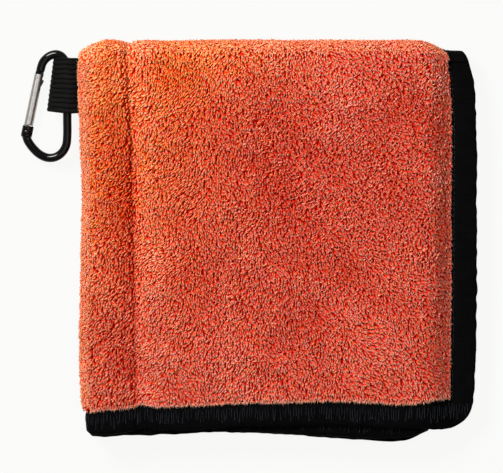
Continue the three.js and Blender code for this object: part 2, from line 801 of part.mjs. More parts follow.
  // compression spring in the bore above the plunger
  const turns = 9;
  const wire = 0.2;
  const springR = 0.6;
  const helix = new THREE.Curve();
  helix.getPoint = (t, out = new THREE.Vector3()) => {
    const a = 2 * Math.PI * turns * t;
    return out.set(springR * Math.cos(a), 8.6 * t, springR * Math.sin(a));
  };
  const section = new THREE.Shape();
  for (let i = 0; i < 5; i++) {
    const a = (2 * Math.PI * i) / 5;
    section[i ? "lineTo" : "moveTo"]((wire / 2) * Math.cos(a), (wire / 2) * Math.sin(a));
  }
  section.closePath();
  gate.add(
    piece(
      "gate_spring",
      placedOnGate(
        new THREE.ExtrudeGeometry(section, { steps: turns * 10, bevelEnabled: false, extrudePath: helix }),
        4.95,
        boreR,
      ),
      STEEL(),
    ),
  );
}

// ---------------------------------------------------------------- the whole object
const part = new THREE.Group();
part.add(towelBack, towelFront, loop, carabiner);
part.updateMatrixWorld(true);
const bounds = new THREE.Box3().setFromObject(part, true);
part.position.set(
  -(bounds.min.x + bounds.max.x) / 2,
  -(bounds.min.y + bounds.max.y) / 2,
  -bounds.min.z,
);

export default part;
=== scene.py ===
"""Golf towel, folded, with a webbing loop and a small carabiner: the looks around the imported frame."""
import math

import bmesh
import bpy
import numpy as np
from mathutils import Matrix, Vector


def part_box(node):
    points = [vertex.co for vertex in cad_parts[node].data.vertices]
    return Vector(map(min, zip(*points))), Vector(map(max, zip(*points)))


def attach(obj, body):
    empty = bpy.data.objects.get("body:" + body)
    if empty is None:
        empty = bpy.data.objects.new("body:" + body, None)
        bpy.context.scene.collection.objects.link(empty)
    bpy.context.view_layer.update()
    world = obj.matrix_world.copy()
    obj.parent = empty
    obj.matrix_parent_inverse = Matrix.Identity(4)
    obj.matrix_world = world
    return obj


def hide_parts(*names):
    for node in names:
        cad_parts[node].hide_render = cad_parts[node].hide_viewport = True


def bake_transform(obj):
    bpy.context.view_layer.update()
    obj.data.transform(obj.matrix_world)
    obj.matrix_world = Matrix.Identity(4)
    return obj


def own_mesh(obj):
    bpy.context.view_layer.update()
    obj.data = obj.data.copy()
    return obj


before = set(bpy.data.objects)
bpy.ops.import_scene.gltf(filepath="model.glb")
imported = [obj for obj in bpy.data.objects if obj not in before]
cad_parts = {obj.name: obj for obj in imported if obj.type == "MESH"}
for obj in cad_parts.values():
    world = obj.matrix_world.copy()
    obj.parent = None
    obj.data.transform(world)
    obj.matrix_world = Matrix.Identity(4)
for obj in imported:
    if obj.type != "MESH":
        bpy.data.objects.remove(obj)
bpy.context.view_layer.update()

MM = 0.001


def node_box(name):
    lo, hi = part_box(name)
    return np.array(lo) / MM, np.array(hi) / MM


# ------------------------------------------------------------------ the frame's own numbers
# Lengths below are in millimetres. The paths are laid out about the cloth's own middle, and
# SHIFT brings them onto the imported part.
_front = node_box("fleece_front_half")
_back = node_box("fleece_back_half")
SHIFT = np.array([_back[0][0] + 85.12, _back[1][1] - 91.15, 0.0])
HINGE_Y = 91.15
TOP_Z = _front[1][2]          # top of the folded packet
C_BACK, B_BACK, A_BACK = 1.55, 5.05, 8.55
C_FRONT, B_FRONT, A_FRONT = TOP_Z - 1.55, TOP_Z - 5.05, TOP_Z - 8.55
END_Z = 10.5
PILE_ROOT = 0.55              # half thickness of the knitted ground cloth


# ------------------------------------------------------------------ small maths
def rng(seed):
    return np.random.default_rng(seed)


class Waves:
    """Smooth seeded noise over a plane, about -1 to 1, with features of the given size."""

    def __init__(self, seed, size, n=14):
        r = rng(seed)
        a = r.uniform(0, 2 * np.pi, n)
        k = 2 * np.pi / (size * r.uniform(0.7, 1.7, n))
        self.kx, self.ky = k * np.cos(a), k * np.sin(a)
        self.p = r.uniform(0, 2 * np.pi, n)
        self.n = n

    def __call__(self, x, y):
        x, y = np.broadcast_arrays(np.asarray(x, float), np.asarray(y, float))
        out = np.zeros(x.shape)
        for kx, ky, p in zip(self.kx, self.ky, self.p):
            out += np.sin(kx * x + ky * y + p)
        return out / math.sqrt(self.n) / 1.1


class Ripple:
    """Seeded noise along a line."""

    def __init__(self, seed, size, n=9):
        r = rng(seed)
        self.k = 2 * np.pi / (size * r.uniform(0.65, 1.6, n))
        self.p = r.uniform(0, 2 * np.pi, n)

    def __call__(self, s):
        s = np.asarray(s, float)
        out = np.zeros(s.shape)
        for k, p in zip(self.k, self.p):
            out += np.sin(k * s + p)
        return out / math.sqrt(len(self.k)) / 1.1


def smooth(a, b, x):
    t = np.clip((np.asarray(x, float) - a) / (b - a), 0, 1)
    return t * t * (3 - 2 * t)


def bell(x, centre, width):
    return np.exp(-(((np.asarray(x, float) - centre) / width) ** 2))


def curve_of(pairs):
    """A smooth function through (x, value) pairs, flat past its ends."""
    xs = np.array([p[0] for p in pairs], float)
    vs = np.array([p[1] for p in pairs], float)
    order = np.argsort(xs)
    xs, vs = xs[order], vs[order]
    d = np.gradient(vs, xs)

    def f(x):
        x = np.clip(np.asarray(x, float), xs[0], xs[-1])
        i = np.clip(np.searchsorted(xs, x) - 1, 0, len(xs) - 2)
        h = xs[i + 1] - xs[i]
        t = (x - xs[i]) / h
        return (
            (2 * t**3 - 3 * t**2 + 1) * vs[i]
            + (t**3 - 2 * t**2 + t) * h * d[i]
            + (-2 * t**3 + 3 * t**2) * vs[i + 1]
            + (t**3 - t**2) * h * d[i + 1]
        )

    return f


def unit(v):
    return v / np.maximum(np.linalg.norm(v, axis=-1, keepdims=True), 1e-12)


def catmull(points, per=14):
    p = np.array(points, float)
    p = np.vstack([2 * p[0] - p[1], p, 2 * p[-1] - p[-2]])
    out = []
    for i in range(1, len(p) - 2):
        p0, p1, p2, p3 = p[i - 1 : i + 3]
        # centripetal knots, so that uneven points make no loops
        t0 = 0.0
        t1 = t0 + max(np.linalg.norm(p1 - p0), 1e-6) ** 0.5
        t2 = t1 + max(np.linalg.norm(p2 - p1), 1e-6) ** 0.5
        t3 = t2 + max(np.linalg.norm(p3 - p2), 1e-6) ** 0.5
        t = np.linspace(t1, t2, per, endpoint=False)[:, None]
        a1 = (t1 - t) / (t1 - t0) * p0 + (t - t0) / (t1 - t0) * p1
        a2 = (t2 - t) / (t2 - t1) * p1 + (t - t1) / (t2 - t1) * p2
        a3 = (t3 - t) / (t3 - t2) * p2 + (t - t2) / (t3 - t2) * p3
        b1 = (t2 - t) / (t2 - t0) * a1 + (t - t0) / (t2 - t0) * a2
        b2 = (t3 - t) / (t3 - t1) * a2 + (t - t1) / (t3 - t1) * a3
        out.append((t2 - t) / (t2 - t1) * b1 + (t - t1) / (t2 - t1) * b2)
    out.append(p[-2][None])
    return np.vstack(out)


def resample(points, n):
    p = np.asarray(points, float)
    s = np.concatenate([[0], np.cumsum(np.linalg.norm(np.diff(p, axis=0), axis=1))])
    q = np.linspace(0, s[-1], n)
    return np.stack([np.interp(q, s, p[:, i]) for i in range(p.shape[1])], 1)


def arc(cx, cz, r, a0, a1, n=40):
    a = np.radians(np.linspace(a0, a1, n))
    return np.stack([cx + r * np.cos(a), cz + r * np.sin(a)], 1)


# ------------------------------------------------------------------ meshes
def mesh_of(name, co_mm, faces, material=None, smooth_shade=True, attrs=None, uv=None, shift=True):
    """A mesh object from points in millimetres and a list of index arrays, each (count, corners)."""
    co = np.asarray(co_mm, float)
    if shift:
        co = co + SHIFT
    co = (co * MM).astype(np.float32)
    faces = [np.asarray(f, np.int32) for f in faces if len(f)]
    loops = np.concatenate([f.ravel() for f in faces])
    totals = np.concatenate([np.full(len(f), f.shape[1], np.int32) for f in faces])
    starts = np.concatenate([[0], np.cumsum(totals)[:-1]]).astype(np.int32)
    me = bpy.data.meshes.new(name)
    me.vertices.add(len(co))
    me.vertices.foreach_set("co", co.ravel())
    me.loops.add(len(loops))
    me.loops.foreach_set("vertex_index", loops)
    me.polygons.add(len(totals))
    me.polygons.foreach_set("loop_start", starts)
    me.polygons.foreach_set("loop_total", totals)
    me.update(calc_edges=True)
    me.polygons.foreach_set("use_smooth", np.full(len(totals), smooth_shade))
    for key, values in (attrs or {}).items():
        a = me.attributes.new(key, "FLOAT", "POINT")
        a.data.foreach_set("value", np.asarray(values, np.float32))
    if uv is not None:
        layer = me.uv_layers.new(name="OFBake")
        layer.uv.foreach_set("vector", np.asarray(uv, np.float32)[loops].ravel())
    me.validate()
    me.update()
    o = bpy.data.objects.new(name, me)
    bpy.context.scene.collection.objects.link(o)
    if material is not None:
        me.materials.append(material)
    return o


def grid_faces(nu, nv, flip=False, wrap_u=False, wrap_v=False, base=0):
    iu = np.arange(nu if wrap_u else nu - 1)
    iv = np.arange(nv if wrap_v else nv - 1)
    a, b = np.meshgrid(iu, iv, indexing="ij")
    a2, b2 = (a + 1) % nu, (b + 1) % nv
    f = np.stack([a * nv + b, a2 * nv + b, a2 * nv + b2, a * nv + b2], -1).reshape(-1, 4)
    return (f[:, ::-1] if flip else f) + base


def shell(pos, nrm, half):
    """A closed sheet: two copies of the (nu, nv) grid set off by half along its normals, joined round the rim."""
    nu, nv = pos.shape[:2]
    half = np.broadcast_to(np.asarray(half, float), (nu, nv))[..., None]
    co = np.concatenate([(pos + nrm * half).reshape(-1, 3), (pos - nrm * half).reshape(-1, 3)])
    n = nu * nv
    front = grid_faces(nu, nv)
    # the first copy faces along the normals
    i = (nu // 2) * nv + nv // 2
    du = pos[nu // 2, nv // 2] - pos[nu // 2 - 1, nv // 2]
    dv = pos[nu // 2, nv // 2] - pos[nu // 2, nv // 2 - 1]
    outward = np.dot(np.cross(du, dv), nrm[nu // 2, nv // 2]) > 0
    f1 = front if outward else front[:, ::-1]
    f2 = (front[:, ::-1] if outward else front) + n
    ring = np.concatenate(
        [
            np.arange(nu) * nv,
            (nu - 1) * nv + np.arange(1, nv),
            np.arange(nu - 2, -1, -1) * nv + nv - 1,
            np.arange(nv - 2, 0, -1),
        ]
    )
    nxt = np.roll(ring, -1)
    rim = np.stack([ring, ring + n, nxt + n, nxt], 1)
    if not outward:
        rim = rim[:, ::-1]
    return co, [f1, f2, rim]


def strands(points, radius, up, sides, pointed=True, squashed=1.0):
    """Many tubes at once. points (k, n, 3), radius (k, n), up (k, 3). Returns the points, faces and each point's place along its strand."""
    k, n = points.shape[:2]
    t = np.gradient(points, axis=1)
    t = unit(t)
    side = unit(np.cross(t, up[:, None, :]))
    lift = np.cross(side, t)
    rings = n - 1 if pointed else n
    a = np.arange(sides) / sides * 2 * np.pi + np.pi / 4
    ca, sa = np.cos(a), np.sin(a)
    ring = (
        points[:, :rings, None, :]
        + side[:, :rings, None, :] * (radius[:, :rings, None] * ca)[..., None]
        + lift[:, :rings, None, :] * (radius[:, :rings, None] * sa * squashed)[..., None]
    )
    per = rings * sides + (1 if pointed else 0)
    co = np.zeros((k, per, 3))
    co[:, : rings * sides] = ring.reshape(k, rings * sides, 3)
    along = np.repeat(np.linspace(0, 1, n)[:rings], sides)
    if pointed:
        co[:, -1] = points[:, -1]
        along = np.append(along, 1.0)
    quads = grid_faces(rings, sides, wrap_v=True)
    caps = [np.arange(sides)]
    tips = []
    if pointed:
        last = (rings - 1) * sides
        for i in range(sides):
            tips.append([last + i, per - 1, last + (i + 1) % sides])
    else:
        caps.append(((rings - 1) * sides + np.arange(sides))[::-1])
    base = (np.arange(k) * per)[:, None, None]
    out = [(quads[None] + base).reshape(-1, 4)[:, ::-1]]
    if tips:
        out.append((np.array(tips)[None] + base).reshape(-1, 3)[:, ::-1])
    for c in caps:
        out.append((np.array(c)[None, None] + base).reshape(-1, sides))
    # faces point out: check the first quad of the first strand
    f = out[0][0]
    p = co.reshape(-1, 3)
    nn = np.cross(p[f[1]] - p[f[0]], p[f[2]] - p[f[0]])
    mid = p[f].mean(0) - points[0, :2].mean(0)
    if np.dot(nn, mid) < 0:
        out = [x[:, ::-1] for x in out]
    return co.reshape(-1, 3), out, np.tile(along, k), per


# ------------------------------------------------------------------ materials
def new_material(name):
    m = bpy.data.materials.new(name)
    m.use_nodes = True
    nt = m.node_tree
    nt.nodes.clear()
    out = nt.nodes.new("ShaderNodeOutputMaterial")
    bsdf = nt.nodes.new("ShaderNodeBsdfPrincipled")
    nt.links.new(bsdf.outputs[0], out.inputs[0])
    return m, nt, bsdf


def node(nt, kind, **values):
    n = nt.nodes.new(kind)
    for key, v in values.items():
        if key.startswith("in_"):
            n.inputs[key[3:].replace("_", " ")].default_value = v
        else:
            setattr(n, key, v)
    return n


def ramp(nt, stops, interpolation="LINEAR"):
    r = nt.nodes.new("ShaderNodeValToRGB")
    r.color_ramp.interpolation = interpolation
    e = r.color_ramp.elements
    while len(e) < len(stops):
        e.new(0.5)
    for el, (p, c) in zip(e, stops):
        el.position = p
        el.color = (*c, 1)
    return r


def lin(r, g, b):
    return tuple(((c / 255) / 12.92 if c <= 10 else ((c / 255 + 0.055) / 1.055) ** 2.4) for c in (r, g, b))


def mix_rgb(nt, fac, a, b, blend="MIX"):
    m = nt.nodes.new("ShaderNodeMix")
    m.data_type = "RGBA"
    m.blend_type = blend
    for sock, v in ((m.inputs[0], fac), (m.inputs[6], a), (m.inputs[7], b)):
        if hasattr(v, "links"):
            nt.links.new(v, sock)
        else:
            sock.default_value = v if not isinstance(v, tuple) else (*v, 1)
    return m.outputs[2]


BANDS = 3                     # salmon, between, and orange-yellow pile share one ramp, a third each


def pile_material():
    m, nt, b = new_material("pile_fibre")
    tone = node(nt, "ShaderNodeAttribute", attribute_name="tone")
    along = node(nt, "ShaderNodeAttribute", attribute_name="along")
    # each tone band pairs a pale tip colour, a painted highlight, with a darker root colour, painted shade between the
    # tufts
    tips, roots = [], []
    for i, (t0, t1, t2, r0, r1) in enumerate((
        (lin(210, 62, 20), lin(255, 194, 166), lin(255, 240, 228), lin(158, 5, 0), lin(216, 32, 2)),
        (lin(220, 70, 16), lin(255, 192, 140), lin(255, 240, 208), lin(166, 8, 0), lin(222, 40, 2)),
        (lin(230, 80, 10), lin(255, 192, 108), lin(255, 236, 184), lin(176, 17, 0), lin(230, 58, 2)),
    )):
        lo, hi = i / BANDS, (i + 1) / BANDS
        tips += [(lo + 0.004, t0), (lo * 0.45 + hi * 0.55, t1), (hi - 0.004, t2)]
        roots += [(lo + 0.004, r0), (hi - 0.004, r1)]
    highlight_tip_ramp, shaded_root_ramp = ramp(nt, tips), ramp(nt, roots)
    nt.links.new(tone.outputs["Fac"], highlight_tip_ramp.inputs[0])
    nt.links.new(tone.outputs["Fac"], shaded_root_ramp.inputs[0])
    # along each tuft the colour rises from the root's painted shade to the tip's painted highlight
    rise = ramp(nt, [(0.0, (0, 0, 0)), (0.36, (0.0, 0.0, 0.0)), (0.55, (0.08, 0.08, 0.08)), (0.73, (0.48, 0.48, 0.48)), (0.94, (1, 1, 1))])
    nt.links.new(along.outputs["Fac"], rise.inputs[0])
    colour = mix_rgb(nt, rise.outputs[0], shaded_root_ramp.outputs[0], highlight_tip_ramp.outputs[0])
    nt.links.new(colour, b.inputs["Base Color"])
    b.inputs["Roughness"].default_value = 0.8
    b.inputs["Specular IOR Level"].default_value = 0.025
    b.inputs["Sheen Weight"].default_value = 0.0
    b.inputs["Sheen Roughness"].default_value = 0.5
    b.inputs["Sheen Tint"].default_value = (1.0, 0.62, 0.48, 1)
    return m


def ground_material():
    """The knitted ground that the pile stands on, seen only deep between the tufts; its dark red, like the tufts'
    roots, is painted shade.
    """
    m, nt, b = new_material("fleece_ground")
    tc = node(nt, "ShaderNodeTexCoord")
    n1 = node(nt, "ShaderNodeTexNoise", in_Scale=900.0, in_Detail=3.0, in_Roughness=0.6)
    nt.links.new(tc.outputs["Object"], n1.inputs["Vector"])
    n2 = node(nt, "ShaderNodeTexNoise", in_Scale=60.0, in_Detail=2.0)
    nt.links.new(tc.outputs["Object"], n2.inputs["Vector"])
    fine = ramp(nt, [(0.3, lin(164, 6, 0)), (0.7, lin(206, 20, 1))])
    nt.links.new(n1.outputs["Fac"], fine.inputs[0])
    wide = ramp(nt, [(0.35, (0.82, 0.82, 0.82)), (0.65, (1, 1, 1))])
    nt.links.new(n2.outputs["Fac"], wide.inputs[0])
    nt.links.new(mix_rgb(nt, 1.0, fine.outputs[0], wide.outputs[0], "MULTIPLY"), b.inputs["Base Color"])
    b.inputs["Roughness"].default_value = 0.9
    b.inputs["Specular IOR Level"].default_value = 0.05
    bump = node(nt, "ShaderNodeBump", in_Strength=0.6, in_Distance=0.0004)
    nt.links.new(n1.outputs["Fac"], bump.inputs["Height"])
    nt.links.new(bump.outputs[0], b.inputs["Normal"])
    return m


def woven_black(name, dark, light, scale, stretch, rough=(0.5, 0.72), bump_depth=0.00012, sheen=0.0, spec=0.06, rib=False):
    """Black yarn: fine ribs one way, crossed by a finer weave, with a little lint and tone variation."""
    m, nt, b = new_material(name)
    tc = node(nt, "ShaderNodeTexCoord")
    mp = node(nt, "ShaderNodeMapping")
    mp.inputs["Scale"].default_value = stretch
    nt.links.new(tc.outputs["Object"], mp.inputs["Vector"])
    w1 = node(nt, "ShaderNodeTexWave", in_Scale=scale, in_Distortion=1.2, in_Detail=2.0)
    w1.inputs["Detail Scale"].default_value = 3.0
    w1.bands_direction = "X"
    w2 = node(nt, "ShaderNodeTexWave", in_Scale=scale * 0.8, in_Distortion=1.5, in_Detail=2.0)
    w2.bands_direction = "Y"
    nt.links.new(mp.outputs[0], w1.inputs["Vector"])
    nt.links.new(mp.outputs[0], w2.inputs["Vector"])
    weave = node(nt, "ShaderNodeMath", operation="MULTIPLY")
    nt.links.new(w1.outputs["Fac"], weave.inputs[0])
    nt.links.new(w2.outputs["Fac"], weave.inputs[1])
    n1 = node(nt, "ShaderNodeTexNoise", in_Scale=160.0, in_Detail=4.0, in_Roughness=0.65)
    nt.links.new(tc.outputs["Object"], n1.inputs["Vector"])
    col = ramp(nt, [(0.2, dark), (0.8, light)])
    mixed = node(nt, "ShaderNodeMath", operation="MULTIPLY_ADD")
    nt.links.new(weave.outputs[0], mixed.inputs[0])
    mixed.inputs[1].default_value = 0.55
    nt.links.new(n1.outputs["Fac"], mixed.inputs[2])
    shift = node(nt, "ShaderNodeMath", operation="SUBTRACT")
    nt.links.new(mixed.outputs[0], shift.inputs[0])
    shift.inputs[1].default_value = 0.12
    nt.links.new(shift.outputs[0], col.inputs[0])
    # for the webbing, the colour is multiplied down to near black in the grooves between its ribs: painted shade
    if rib:
        at = node(nt, "ShaderNodeAttribute", attribute_name="rib")
        groove = ramp(nt, [(0.3, (0.05, 0.05, 0.05)), (0.8, (0.8, 0.8, 0.8)), (1.0, (1, 1, 1))])
        nt.links.new(at.outputs["Fac"], groove.inputs[0])
        nt.links.new(mix_rgb(nt, 1.0, col.outputs[0], groove.outputs[0], "MULTIPLY"), b.inputs["Base Color"])
    else:
        nt.links.new(col.outputs[0], b.inputs["Base Color"])
    rr = node(nt, "ShaderNodeMapRange")
    rr.inputs["To Min"].default_value = rough[0]
    rr.inputs["To Max"].default_value = rough[1]
    nt.links.new(n1.outputs["Fac"], rr.inputs["Value"])
    nt.links.new(rr.outputs[0], b.inputs["Roughness"])
    b.inputs["Specular IOR Level"].default_value = spec
    b.inputs["Sheen Weight"].default_value = sheen
    b.inputs["Sheen Roughness"].default_value = 0.4
    bump = node(nt, "ShaderNodeBump", in_Strength=0.7, in_Distance=bump_depth)
    nt.links.new(weave.outputs[0], bump.inputs["Height"])
    nt.links.new(bump.outputs[0], b.inputs["Normal"])
    return m


def anodised_material():
    m, nt, b = new_material("black_anodised")
    tc = node(nt, "ShaderNodeTexCoord")
    n1 = node(nt, "ShaderNodeTexNoise", in_Scale=420.0, in_Detail=5.0, in_Roughness=0.6)
    nt.links.new(tc.outputs["Object"], n1.inputs["Vector"])
    n2 = node(nt, "ShaderNodeTexNoise", in_Scale=90.0, in_Detail=3.0)
    nt.links.new(tc.outputs["Object"], n2.inputs["Vector"])
    col = ramp(nt, [(0.35, (0.0010, 0.0010, 0.0012)), (0.7, (0.0032, 0.0032, 0.0037))])
    nt.links.new(n2.outputs["Fac"], col.inputs[0])
    nt.links.new(col.outputs[0], b.inputs["Base Color"])
    rr = node(nt, "ShaderNodeMapRange")
    rr.inputs["To Min"].default_value = 0.05
    rr.inputs["To Max"].default_value = 0.11
    nt.links.new(n1.outputs["Fac"], rr.inputs["Value"])
    nt.links.new(rr.outputs[0], b.inputs["Roughness"])
    b.inputs["Specular IOR Level"].default_value = 0.11
    b.inputs["Coat Weight"].default_value = 0.13
    b.inputs["Coat Roughness"].default_value = 0.035
    bump = node(nt, "ShaderNodeBump", in_Strength=0.12, in_Distance=0.00001)
    nt.links.new(n1.outputs["Fac"], bump.inputs["Height"])
    nt.links.new(bump.outputs[0], b.inputs["Normal"])
    return m


def steel_material(name="brushed_steel", tint=(0.44, 0.42, 0.4), rough=(0.28, 0.4)):
    """Bare bright metal, finely drawn along the bar."""
    m, nt, b = new_material(name)
    tc = node(nt, "ShaderNodeTexCoord")
    turn = node(nt, "ShaderNodeMapping")
    turn.inputs["Rotation"].default_value = (0, 0, math.radians(12))
    nt.links.new(tc.outputs["Object"], turn.inputs["Vector"])
    mp = node(nt, "ShaderNodeMapping")
    mp.inputs["Scale"].default_value = (1.0, 0.03, 1.0)
    nt.links.new(turn.outputs[0], mp.inputs["Vector"])
    n1 = node(nt, "ShaderNodeTexNoise", in_Scale=2200.0, in_Detail=3.0, in_Roughness=0.6)
    nt.links.new(mp.outputs[0], n1.inputs["Vector"])
    n2 = node(nt, "ShaderNodeTexNoise", in_Scale=260.0, in_Detail=3.0)
    nt.links.new(tc.outputs["Object"], n2.inputs["Vector"])
    col = ramp(nt, [(0.3, tuple(c * 0.8 for c in tint)), (0.7, tint)])
    nt.links.new(n2.outputs["Fac"], col.inputs[0])
    nt.links.new(col.outputs[0], b.inputs["Base Color"])
    b.inputs["Metallic"].default_value = 1.0
    rr = node(nt, "ShaderNodeMapRange")
    rr.inputs["To Min"].default_value = rough[0]
    rr.inputs["To Max"].default_value = rough[1]
    nt.links.new(n1.outputs["Fac"], rr.inputs["Value"])
    nt.links.new(rr.outputs[0], b.inputs["Roughness"])
    bump = node(nt, "ShaderNodeBump", in_Strength=0.16, in_Distance=0.00001)
    nt.links.new(n1.outputs["Fac"], bump.inputs["Height"])
    nt.links.new(bump.outputs[0], b.inputs["Normal"])
    return m


PILE = pile_material()
GROUND = ground_material()
TAPE = woven_black("binding_tape", (0.0005, 0.00045, 0.0005), (0.0021, 0.0019, 0.0024), 950.0, (1.0, 1.0, 1.0), spec=0.02)
WEBBING = woven_black("webbing_weave", (0.0019, 0.0018, 0.0017), (0.0068, 0.0065, 0.0062), 700.0, (1.0, 1.4, 1.0),
                      rough=(0.34, 0.5), bump_depth=0.0002, spec=0.045, rib=True)
THREAD = woven_black("sewing_thread", (0.005, 0.0058, 0.008), (0.016, 0.018, 0.025), 1500.0, (1.0, 1.0, 1.0),
                     rough=(0.4, 0.55), bump_depth=0.00005, spec=0.12)
ANODISED = anodised_material()
STEEL = steel_material()
PLAIN_STEEL = steel_material("plated_steel", (0.5, 0.49, 0.47), (0.24, 0.4))
DARK_STEEL = steel_material("blackened_steel", (0.035, 0.034, 0.034), (0.24, 0.4))


# ------------------------------------------------------------------ the cloth's folded path
class Half:
    """One half of the folded towel: its path across X and Z from the bound outer end, round the
    left and right folds, to the loop end. u runs 0 to 1 on panel C, to 2 round the left fold,
    to 3 on panel B, to 4 round the right fold and to 5 on panel A."""

    def __init__(self, parts, turn, front):
        counts = [420, 60, 380, 40, 300]
        pts, us = [], []
        for i, (p, n) in enumerate(zip(parts, counts)):
            q = resample(p, n)
            pts.append(q if i == 0 else q[1:])
            u = np.linspace(i, i + 1, n)
            us.append(u if i == 0 else u[1:])
        p = np.vstack(pts)
        self.u = np.concatenate(us)
        # soften the joins between the pieces of the path, evenly along its length
        s = np.concatenate([[0], np.cumsum(np.linalg.norm(np.diff(p, axis=0), axis=1))])
        even = np.arange(0, s[-1], 0.15)
        q = np.stack([np.interp(even, s, p[:, i]) for i in range(2)], 1)
        kernel = np.exp(-0.5 * (np.arange(-12, 13) * 0.15 / 0.45) ** 2)
        kernel /= kernel.sum()
        pad = np.vstack([np.repeat(q[:1], 12, 0), q, np.repeat(q[-1:], 12, 0)])
        q = np.stack([np.convolve(pad[:, i], kernel, "valid") for i in range(2)], 1)
        p = np.stack([np.interp(s, even, q[:, i]) for i in range(2)], 1)
        self.s, self.x, self.z = s, p[:, 0], p[:, 1]
        t = unit(np.stack([np.gradient(self.x, s), np.gradient(self.z, s)], 1))
        self.tx, self.tz = t[:, 0], t[:, 1]
        self.nx, self.nz = (-t[:, 1], t[:, 0]) if turn > 0 else (t[:, 1], -t[:, 0])
        self.front = front

    def at(self, u, what):
        return np.interp(u, self.u, getattr(self, what))

    def u_at_s(self, s):
        return np.interp(s, self.s, self.u)


X_START = 115.0
BACK = Half(
    [
        [(X_START, C_BACK), (0, C_BACK), (-80.6, C_BACK)],
        arc(-80.6, 4.5, 2.95, 270, 90),
        catmull([(-80.6, 7.45), (-76, 7.32), (-71, 6.85), (-61, 5.5), (-52, B_BACK), (-40, B_BACK), (0, B_BACK), (60, B_BACK), (88.7, B_BACK)]),
        arc(88.7, 6.8, 1.75, -90, 90),
        [(88.7, A_BACK), (0, A_BACK), (-48, A_BACK)],
    ],
    1,
    False,
)
FRONT = Half(
    [
        catmull([(X_START, END_Z), (108, END_Z), (102.6, END_Z + 0.1), (99.8, 12.1), (97, 14.6), (93.8, 17.3), (90.0, 19.0), (83, C_FRONT), (60, C_FRONT), (0, C_FRONT), (-45, C_FRONT),
                 (-52.8, 19.15), (-56.5, 18.35), (-59.8, 17.5), (-63.4, 18.2), (-68, 19.05), (-74, 19.35), (-80.6, 19.1)]),
        arc(-80.8, 16.35, 2.75, 90, 270),
        catmull([(-80.8, 13.6), (-74, 13.6), (-66, 13.6), (-60.4, 13.6), (-56.9, 14.6), (-53.4, 15.53), (-46, B_FRONT), (0, B_FRONT), (60, B_FRONT), (88.7, B_FRONT)]),
        arc(88.7, 14.2, 1.75, 90, -90),
        [(88.7, A_FRONT), (0, A_FRONT), (-48, A_FRONT)],
    ],
    -1,
    True,
)

# the crease over the bound inner edge leans across the panel, and fades towards the open edge
crease_x = curve_of([(105, -62.9), (83, -61.3), (49, -59.3), (17, -58.3), (-30, -57.2), (-82, -56.3), (-95, -56.2)])
crease_depth = curve_of([(100, 1.9), (80, 2.3), (40, 2.1), (0, 1.5), (-50, 1.0), (-90, 0.6)])

# where panel C's pile ends and its binding starts, and the lower edge of each panel's binding
border_c = curve_of([(-88, -87.2), (-85, -87.0), (-74, -85.4), (-64, -84.4), (-61, -83.6), (-57.5, -82.6), (-54, -82.9), (-50, -83.6), (-44, -83.9), (-37, -83.6), (-26, -83.2),
                     (-5, -82.2), (18, -81.7), (36, -81.1), (62, -81.7), (77, -82.6), (84, -82.4), (92, -81.0), (99, -80.0), (104, -79.5), (116, -79.4)])
low_c = curve_of([(-88, -92.5), (-85.5, -95.5), (-82, -97.6), (-76, -98.2), (-68, -97.3), (-60, -95.6), (-55, -94.6), (-48, -95.6), (-38, -96.0), (-20, -95.0),
                  (0, -93.8), (18, -93.6), (40, -93.4), (62, -94.2), (78, -95.0), (90, -95.4), (97, -95.6), (104, -94.2), (107.5, -92.6), (110.2, -90.6), (112.2, -87.8), (113.4, -84.6), (114.1, -81.4)])
low_b = curve_of([(-86, -94.5), (-83, -97.6), (-76, -99.4), (-70, -98.6), (-60, -98.5), (-52.5, -99.0), (-46, -98.2), (-36, -97.6), (-20, -97.2), (0, -97.0),
                  (18, -97.7), (34, -98.7), (48, -99.3), (60, -99.8), (76, -99.8), (84, -98.4), (92, -95.6)])
low_a = curve_of([(-55, -97.4), (-40, -97.2), (0, -97.2), (18, -98.2), (34, -99.4), (48, -100.4), (62, -101.2), (75, -101.8), (81, -101.0), (87, -98.0), (92, -95.8)])
BACK_RAISE = 1.3              # the back half's edges lie this much inside the front's


def edge_low(half, u, x):
    """The binding's lower edge on whichever panel u is on."""
    c, b, a = low_c(x), low_b(x), low_a(x)
    w1, w2 = smooth(0.97, 2.03, u), smooth(2.97, 4.03, u)
    v = (c * (1 - w1) + b * w1) * (1 - w2) + a * w2
    return v if half.front else v + BACK_RAISE


def edge_border(half, u, x):
    """Where the pile meets the lower binding."""
    c = border_c(x)
    w1, w2 = smooth(0.97, 2.03, u), smooth(2.97, 4.03, u)
    v = (c * (1 - w1) + (low_b(x) + 11.4) * w1) * (1 - w2) + (low_a(x) + 11.4) * w2
    return v if half.front else v + BACK_RAISE * 0.6


left_in = curve_of([(92, -0.3), (80, -0.5), (66, -0.2), (45, 0.8), (21, 1.4), (-5, 1.0), (-30, 0.1), (-50, -0.4), (-66, 0.1), (-82, 1.2), (-88, 2.0), (-95, 2.4), (-100, 2.6)])
WIDE = Waves(11, 46)
SOFT = Waves(12, 17)
LUMP = Waves(13, 7.5)


